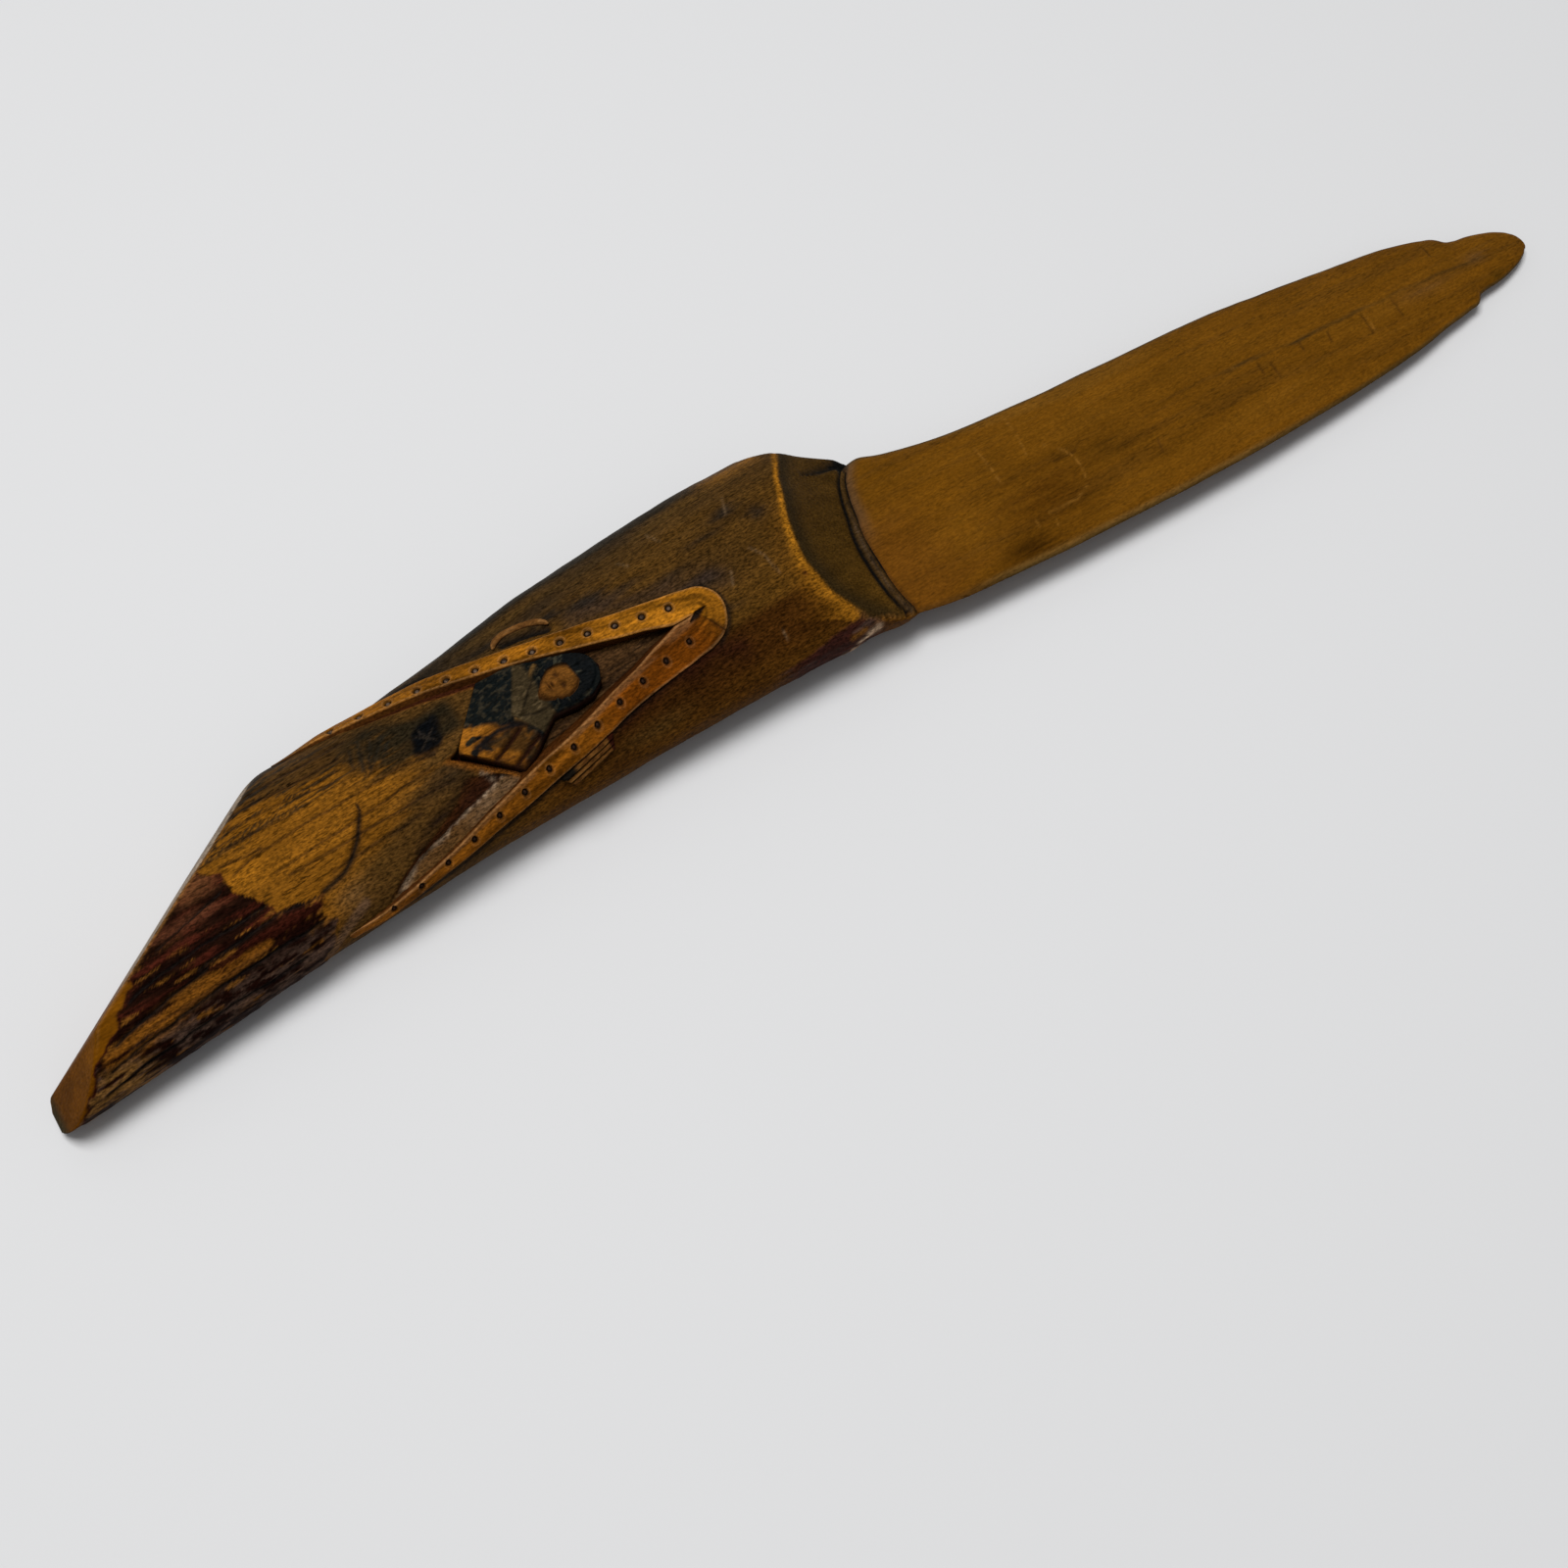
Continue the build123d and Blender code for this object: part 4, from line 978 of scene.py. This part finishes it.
# Figure: a half-length folk figure in an open coat, carved from its own block and let into the sunk panel.
# The head points to the strips' nose. Stained dark, with hair and coat left rough from the gouge.
figure_foot, figure_crown = 65.2, 86.9
figure_far = (
    (figure_foot, -2.75), (68.4, 0.9), (72.2, 5), (76.7, 4.7), (79.3, 3.6), (81.7, 2.7), (83.9, 1.6),
    (85.9, 0.3), (figure_crown, -1.9),
)
figure_near = (
    (figure_foot, -2.95), (68.4, -5.9), (71.4, -8.6), (73.5, -7.9), (76.9, -5.7), (78.3, -4.9),
    (81.5, -5.3), (84.1, -5.2), (85.9, -4.2), (figure_crown, -2.1),
)
fs, share = np.meshgrid(
    spread(250, (figure_foot, 74, 77, figure_crown), (0.8, 0.8, 1.2, 1.2)), np.linspace(0, 1, 170),
    indexing="ij",
)
fy = mix(np.interp(fs, *zip(*figure_near)), np.interp(fs, *zip(*figure_far)), share)
head_at, head_side, head_turn = 80.9, -1.75, np.radians(6.0)
up = (fs - head_at) * np.cos(head_turn) + (fy - head_side) * np.sin(head_turn)
aside = (fy - head_side) * np.cos(head_turn) - (fs - head_at) * np.sin(head_turn)


def bump_at(u, v, length, width):
    """A round swelling of height 1 at a place on the face, in mm up and aside from its middle."""
    return bell(up - u, length) * bell(aside - v, width)


oval = np.sqrt((up / 3.1) ** 2 + (aside / np.where(up > 0, 2.35, 2.35 - 0.32 * np.clip(-up, 0, 3.1))) ** 2)
head_oval = np.sqrt(((up - 1.1) / 4.5) ** 2 + (aside / 3.35) ** 2)
face_here = ramp(1.0 - oval, -0.04, 0.06) * ramp(2.6 - up, 0, 0.35)
hair_here = ramp(1.0 - head_oval, -0.02, 0.08) * (1 - face_here) * ramp(up + 2.2, 0, 0.8)
gouge = cloud(fs / 0.8 + fy * 0.7, fy / 0.45 - fs * 0.4, 61)
cloth = cloud(fs / 2.6 + fy * 0.5, fy / 1.1 - fs * 0.35, 62)
face_bumps = (
    (0.16, 0.95, 0, 0.3, 1.5), (0.4, -0.15, 0, 0.62, 0.26), (0.3, -0.62, 0, 0.26, 0.42),
    (-0.12, -1.02, 0, 0.14, 0.6), (0.16, -1.2, 0, 0.13, 0.62), (-0.16, -1.38, 0, 0.09, 0.66),
    (0.15, -1.57, 0, 0.15, 0.5), (0.2, -2.25, 0, 0.42, 0.6),
)
paired_bumps = ((-0.34, 0.3, 0.85, 0.36, 0.55), (0.17, 0.28, 0.85, 0.17, 0.36), (0.1, -0.6, 1.3, 0.6, 0.5))
features = 0.95 * np.sqrt(np.clip(1 - oval**2, 0, 1))
for height, u, v, length, width in face_bumps + paired_bumps:
    features = features + height * bump_at(u, v, length, width)
for height, u, v, length, width in paired_bumps:
    features = features + height * bump_at(u, -v, length, width)
strands = 1.6 * cloud(np.arctan2(aside, up + 0.6) * 5.5, np.hypot(aside, up + 0.6) / 2.2, 63)
lapel_far = to_line(fs, fy, [(79.7, 2.3), (77.8, 1.0), (75.2, -1.4), (73.9, -2.9)])
lapel_near = to_line(fs, fy, [(78.2, -4.6), (76.5, -4.9), (73.9, -2.9)])
lapel = np.minimum(lapel_far, lapel_near)
shirt_here = (
    ramp(fs - 73.9 - 0.62 * np.abs(fy + 2.2) + 0.6, 0, 0.5) * ramp(79.0 - fs, 0, 1.0) * (1 - face_here)
)
coat_here = (1 - shirt_here) * (1 - face_here) * (1 - hair_here)
sleeve_fold = np.minimum(
    to_line(fs, fy, [(68.9, -5.9), (70.8, -5.3), (73.5, -4.2)]),
    to_line(fs, fy, [(70.8, -7.7), (72.8, -7.0), (75.1, -6.2)]),
)
cuff = to_line(fs, fy, [(66.0, -2.8), (69.0, -2.6), (72.2, -2.3)])
lift = 0.28 + 0.16 * cloth + 0.1 * gouge
lift = lift + coat_here * (0.22 * bell(lapel, 0.5) - 0.35 * bell(lapel - 0.75, 0.28))
lift = lift - coat_here * (0.5 * bell(sleeve_fold, 0.32) + 0.4 * bell(cuff, 0.3))
shirt = 0.18 + 0.18 * gouge - 0.3 * mark(fs, fy, 0.2, [(78.2, -2.0), (74.4, -2.8)])
hair = 0.5 + 0.4 * np.sqrt(np.clip(1 - head_oval**2, 0, 1)) + 0.24 * strands + 0.16 * gouge
lift = mix(mix(lift, shirt, shirt_here), hair, hair_here)
lift = mix(lift, 0.15 + 1.2 * features, face_here)
lift = np.minimum(lift, 1.5)
from_end = np.minimum(fs - figure_foot, figure_crown - fs)
edge_round = ramp(np.minimum(share, 1 - share), 0, 0.035) * ramp(from_end, 0, 0.5)
lift = -0.25 + (lift + 0.25) * edge_round

tone = cloud(fs / 1.6, fy / 0.8, 64)
skirt = ramp(-fy - 0.55 * (fs - 69.0), 0.4, 1.6) * ramp(75.5 - fs, 0, 2.5)
above_hem = to_line(fs, fy, [(figure_foot, -2.85), (68.4, -5.9), (71.4, -8.6)])
collar_fold = np.minimum(
    to_line(fs, fy, [(79.2, 1.2), (77.4, -0.2), (75.6, -1.9)]),
    to_line(fs, fy, [(78.4, -3.6), (76.4, -3.6), (74.9, -3.0)]),
)
# Painted shade in the eye hollows, under the nose and along the mouth.
face_hollow_shade = (
    bump_at(0.3, 0.85, 0.36, 0.5) + bump_at(0.3, -0.85, 0.36, 0.5) + bump_at(-1.38, 0, 0.1, 0.7)
    + bump_at(-0.95, 0, 0.14, 0.4)
)
figure_tint = paint(
    ground(fs, (4, 5.6, 5.8)),
    ((28, 23, 14), ramp(gouge, 0.05, 0.45) * 0.75),
    ((235, 85, 8), skirt * ramp(tone + 0.35, 0, 0.5)),
    ((34, 16.5, 4.8), skirt * ramp(above_hem, 1.0, 2.2) * ramp(-fy, 2.8, 4.4) * 0.9),
    ((105, 36, 5), skirt * ramp(1.6 - above_hem, 0, 0.8) * ramp(-fy, 4.0, 6.0) * 0.6),
    ((6, 5, 5), mark(fs, fy, 0.7, [(67.5, -3.6), (71, -3.0), (75.5, -3.9)]) * coat_here),
    ((15, 5, 3), bell(sleeve_fold, 0.35) * coat_here),
    ((32, 22, 10), shirt_here),
    ((82, 56, 26), shirt_here * ramp(gouge + 0.4 * cloth, 0.05, 0.5) * 0.7),
    ((10, 7, 4), bell(collar_fold, 0.22) * shirt_here * 0.85),
    ((120, 62, 16), bell(lapel, 0.3) * coat_here * 0.75),
    ((4.5, 5.5, 6), hair_here),
    ((36, 33, 21), hair_here * ramp(strands + 0.7 * gouge, 0.25, 0.9) * 0.85),
    ((125, 47, 7.5), face_here * (0.95 + 0.25 * tone)),
    ((20, 7, 3), face_here * face_hollow_shade * 0.85),
    # Painted shade round the edge of the face.
    ((32, 12, 4), face_here * ramp(oval, 0.72, 1.0) * 0.85),
    ((12, 4.5, 2.8), (1 - edge_round) * 0.95),
)

top = np.stack([fs, fy, np.zeros_like(fs)], -1)
offset, half_width, heart, half_height = branch_at(fs)
top[..., 2] = heart + half_height * np.sqrt(np.clip(1 - ((fy - offset) / half_width) ** 2, 0, 1)) + lift
floor_drop = top[..., 2] - lift - 2.6
under = np.stack([fs, fy, floor_drop], -1)[:, [-1, 0]]
figure_points = np.concatenate([top, under], 1)
figure_tint = np.concatenate([figure_tint, 0.5 * figure_tint[:, [-1, 0]]], 1)
figure_wood = varnished_wood("figure_wood", 0.18, 0.34, 0.42, 0.35)
figure = make_piece("figure_carved", figure_points, figure_tint)
figure.data.materials.append(figure_wood)
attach(figure, "root")
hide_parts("figure")


# Hands: small pieces let in outside the strips, as if the figure held them.
# The far one is worn to a thin bent bar over a dark gap, the near one is a block with finger grooves.
def make_bar(name, line, radius):
    """A round bar along a bent line of places and angles: circles across it, half sunk, with blunt ends."""
    line, reach = unrolled(line)
    run, spin = np.meshgrid(
        np.linspace(0, reach[-1], 140), np.radians(np.arange(360, 0, -15)), indexing="ij",
    )
    blunt = np.sqrt(np.clip(1 - np.abs(2 * run / reach[-1] - 1) ** 14, 0.02, 1))
    thick = radius * blunt * (1 + 0.12 * cloud(run / 1.5, run * 0, 73))
    side, lift = thick * np.cos(spin), 0.05 + 1.15 * thick * np.sin(spin)
    tone = cloud(run / 1.2, side / 0.3, 74)
    tint = paint(
        ground(run, (115, 48, 12)),
        # Paler patches on the top of the bar, as a painted highlight.
        ((190, 92, 30), ramp(tone, 0.1, 0.5) * ramp(np.sin(spin), 0.2, 0.9) * 0.7),
        ((50, 18, 5), ramp(-tone, 0.1, 0.5) * 0.6),
        ((20, 7, 3), ramp(-np.sin(spin), -0.25, 0.25)),
    )
    return make_piece(name, beside(line, reach, run, side, lift), tint)


def make_block(name, corners, fingers, proud):
    """A block on the branch between four corners in place and angle, ribbed by fingers, with round edges."""
    (s0, a0), (s1, a1), (s2, a2), (s3, a3) = corners
    rim = np.concatenate([[0], np.linspace(0, 1, 60), [1]])
    length, breadth = np.meshgrid(np.linspace(0, 1, 90), rim, indexing="ij")
    place = mix(mix(s0, s1, length), mix(s3, s2, length), breadth)
    turn_to = mix(mix(a0, a1, length), mix(a3, a2, length), breadth)
    rib = np.abs(np.sin(np.pi * fingers * np.clip(breadth, 0.001, 0.999))) ** 0.45
    ends = ramp(np.minimum(length, 1 - length), 0, 0.07) ** 0.5
    lift = -0.3 + (proud + 0.3) * rib * ends + 0.05 * cloud(length * 9, breadth * 5, 71)
    lift[:, [0, -1]] = -1.8
    tone = cloud(length * 7, breadth * 9, 72)
    tint = paint(
        ground(place, (105, 43, 9)),
        ((40, 13.5, 3.5), ramp(-tone, 0.0, 0.4) * 0.7),
        ((18, 5, 2.5), ramp(0.78 - rib, 0, 0.3)),
        ((150, 70, 20), ramp(rib, 0.93, 1.0) * ramp(tone, -0.2, 0.3) * 0.6),
        ((22, 4.8, 2.5), ramp(length + 0.06 * breadth, 0.9, 0.93)),
        ((5, 4, 3), ramp(0.34 - length, 0, 0.12) * ramp(breadth, 0.6, 0.68)),
    )
    return make_piece(name, on_branch(place, turn_to, lift), tint)


hand_wood = varnished_wood("hand_wood", 0.2, 0.34, 0.42, 0.35)
bar_line = ((76.9, 43.5), (77.5, 47.5), (78.8, 50.5), (80.6, 49.5), (82.7, 45.5), (84.5, 38), (84.9, 34.5))
upper_hand = make_bar("hand_upper", bar_line, 0.37)
lower_hand = make_block("hand_lower", ((76.0, -78.2), (83.2, -71.2), (83.9, -63.0), (74.5, -70.8)), 3, 0.75)
for hand, node in ((upper_hand, "upper_hand"), (lower_hand, "lower_hand")):
    hand.data.materials.append(hand_wood)
    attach(hand, "root")
    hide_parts(node)


# Stage: a pale table top, a wide soft lamp nearly overhead, and a pale sky all round.
# The camera stands where the photograph was taken from.
floor_mesh = bpy.data.meshes.new("table_top")
floor_mesh.from_pydata([(-2, -2, 0), (2, -2, 0), (2, 2, 0), (-2, 2, 0)], [], [(0, 1, 2, 3)])
floor = bpy.data.objects.new("table_top", floor_mesh)
bpy.context.scene.collection.objects.link(floor)
floor_finish = bpy.data.materials.new("table_top")
floor_finish.use_nodes = True
floor_shader = floor_finish.node_tree.nodes["Principled BSDF"]
floor_shader.inputs["Base Color"].default_value = (0.635, 0.635, 0.638, 1)
floor_shader.inputs["Roughness"].default_value = 0.75
floor.data.materials.append(floor_finish)

sky = bpy.data.worlds.new("studio")
sky.use_nodes = True
sky_nodes, sky_links = sky.node_tree.nodes, sky.node_tree.links
daylight = sky_nodes["Background"]
daylight.inputs["Color"].default_value = (0.97, 0.98, 1.0, 1)
daylight.inputs["Strength"].default_value = 0.30
backdrop = sky_nodes.new("ShaderNodeBackground")
backdrop.inputs["Color"].default_value = (0.72, 0.73, 0.74, 1)
seen = sky_nodes.new("ShaderNodeLightPath")
chosen = sky_nodes.new("ShaderNodeMixShader")
sky_links.new(seen.outputs["Is Camera Ray"], chosen.inputs["Fac"])
sky_links.new(daylight.outputs["Background"], chosen.inputs[1])
sky_links.new(backdrop.outputs["Background"], chosen.inputs[2])
sky_links.new(chosen.outputs["Shader"], sky_nodes["World Output"].inputs["Surface"])
bpy.context.scene.world = sky

lamp_data = bpy.data.lights.new("window", "AREA")
lamp_data.shape = "RECTANGLE"
lamp_data.size, lamp_data.size_y = 0.5, 0.5
lamp_data.energy = 9.6
lamp = bpy.data.objects.new("window", lamp_data)
lamp.location = (-0.1, 0.12, 1.0)
lamp.rotation_euler = (-lamp.location).to_track_quat("-Z", "Y").to_euler()
bpy.context.scene.collection.objects.link(lamp)

camera_data = bpy.data.cameras.new("camera")
camera_data.sensor_width = 36.0
camera_data.lens = 49.45
camera_data.clip_start, camera_data.clip_end = 0.01, 20.0
camera = bpy.data.objects.new("camera", camera_data)
right, upward, backward = (0.8226, -0.5686, 0.0), (0.502, 0.7263, 0.4695), (-0.2669, -0.3862, 0.883)
turned = Matrix((right, upward, backward)).transposed().to_4x4()
turned.translation = ((butt_x + 23.95) * MM, -135.65 * MM, 256.12 * MM)
camera.matrix_world = turned
bpy.context.scene.collection.objects.link(camera)
bpy.context.scene.camera = camera
bpy.context.scene.view_settings.view_transform = "Standard"

bpy.context.view_layer.update()
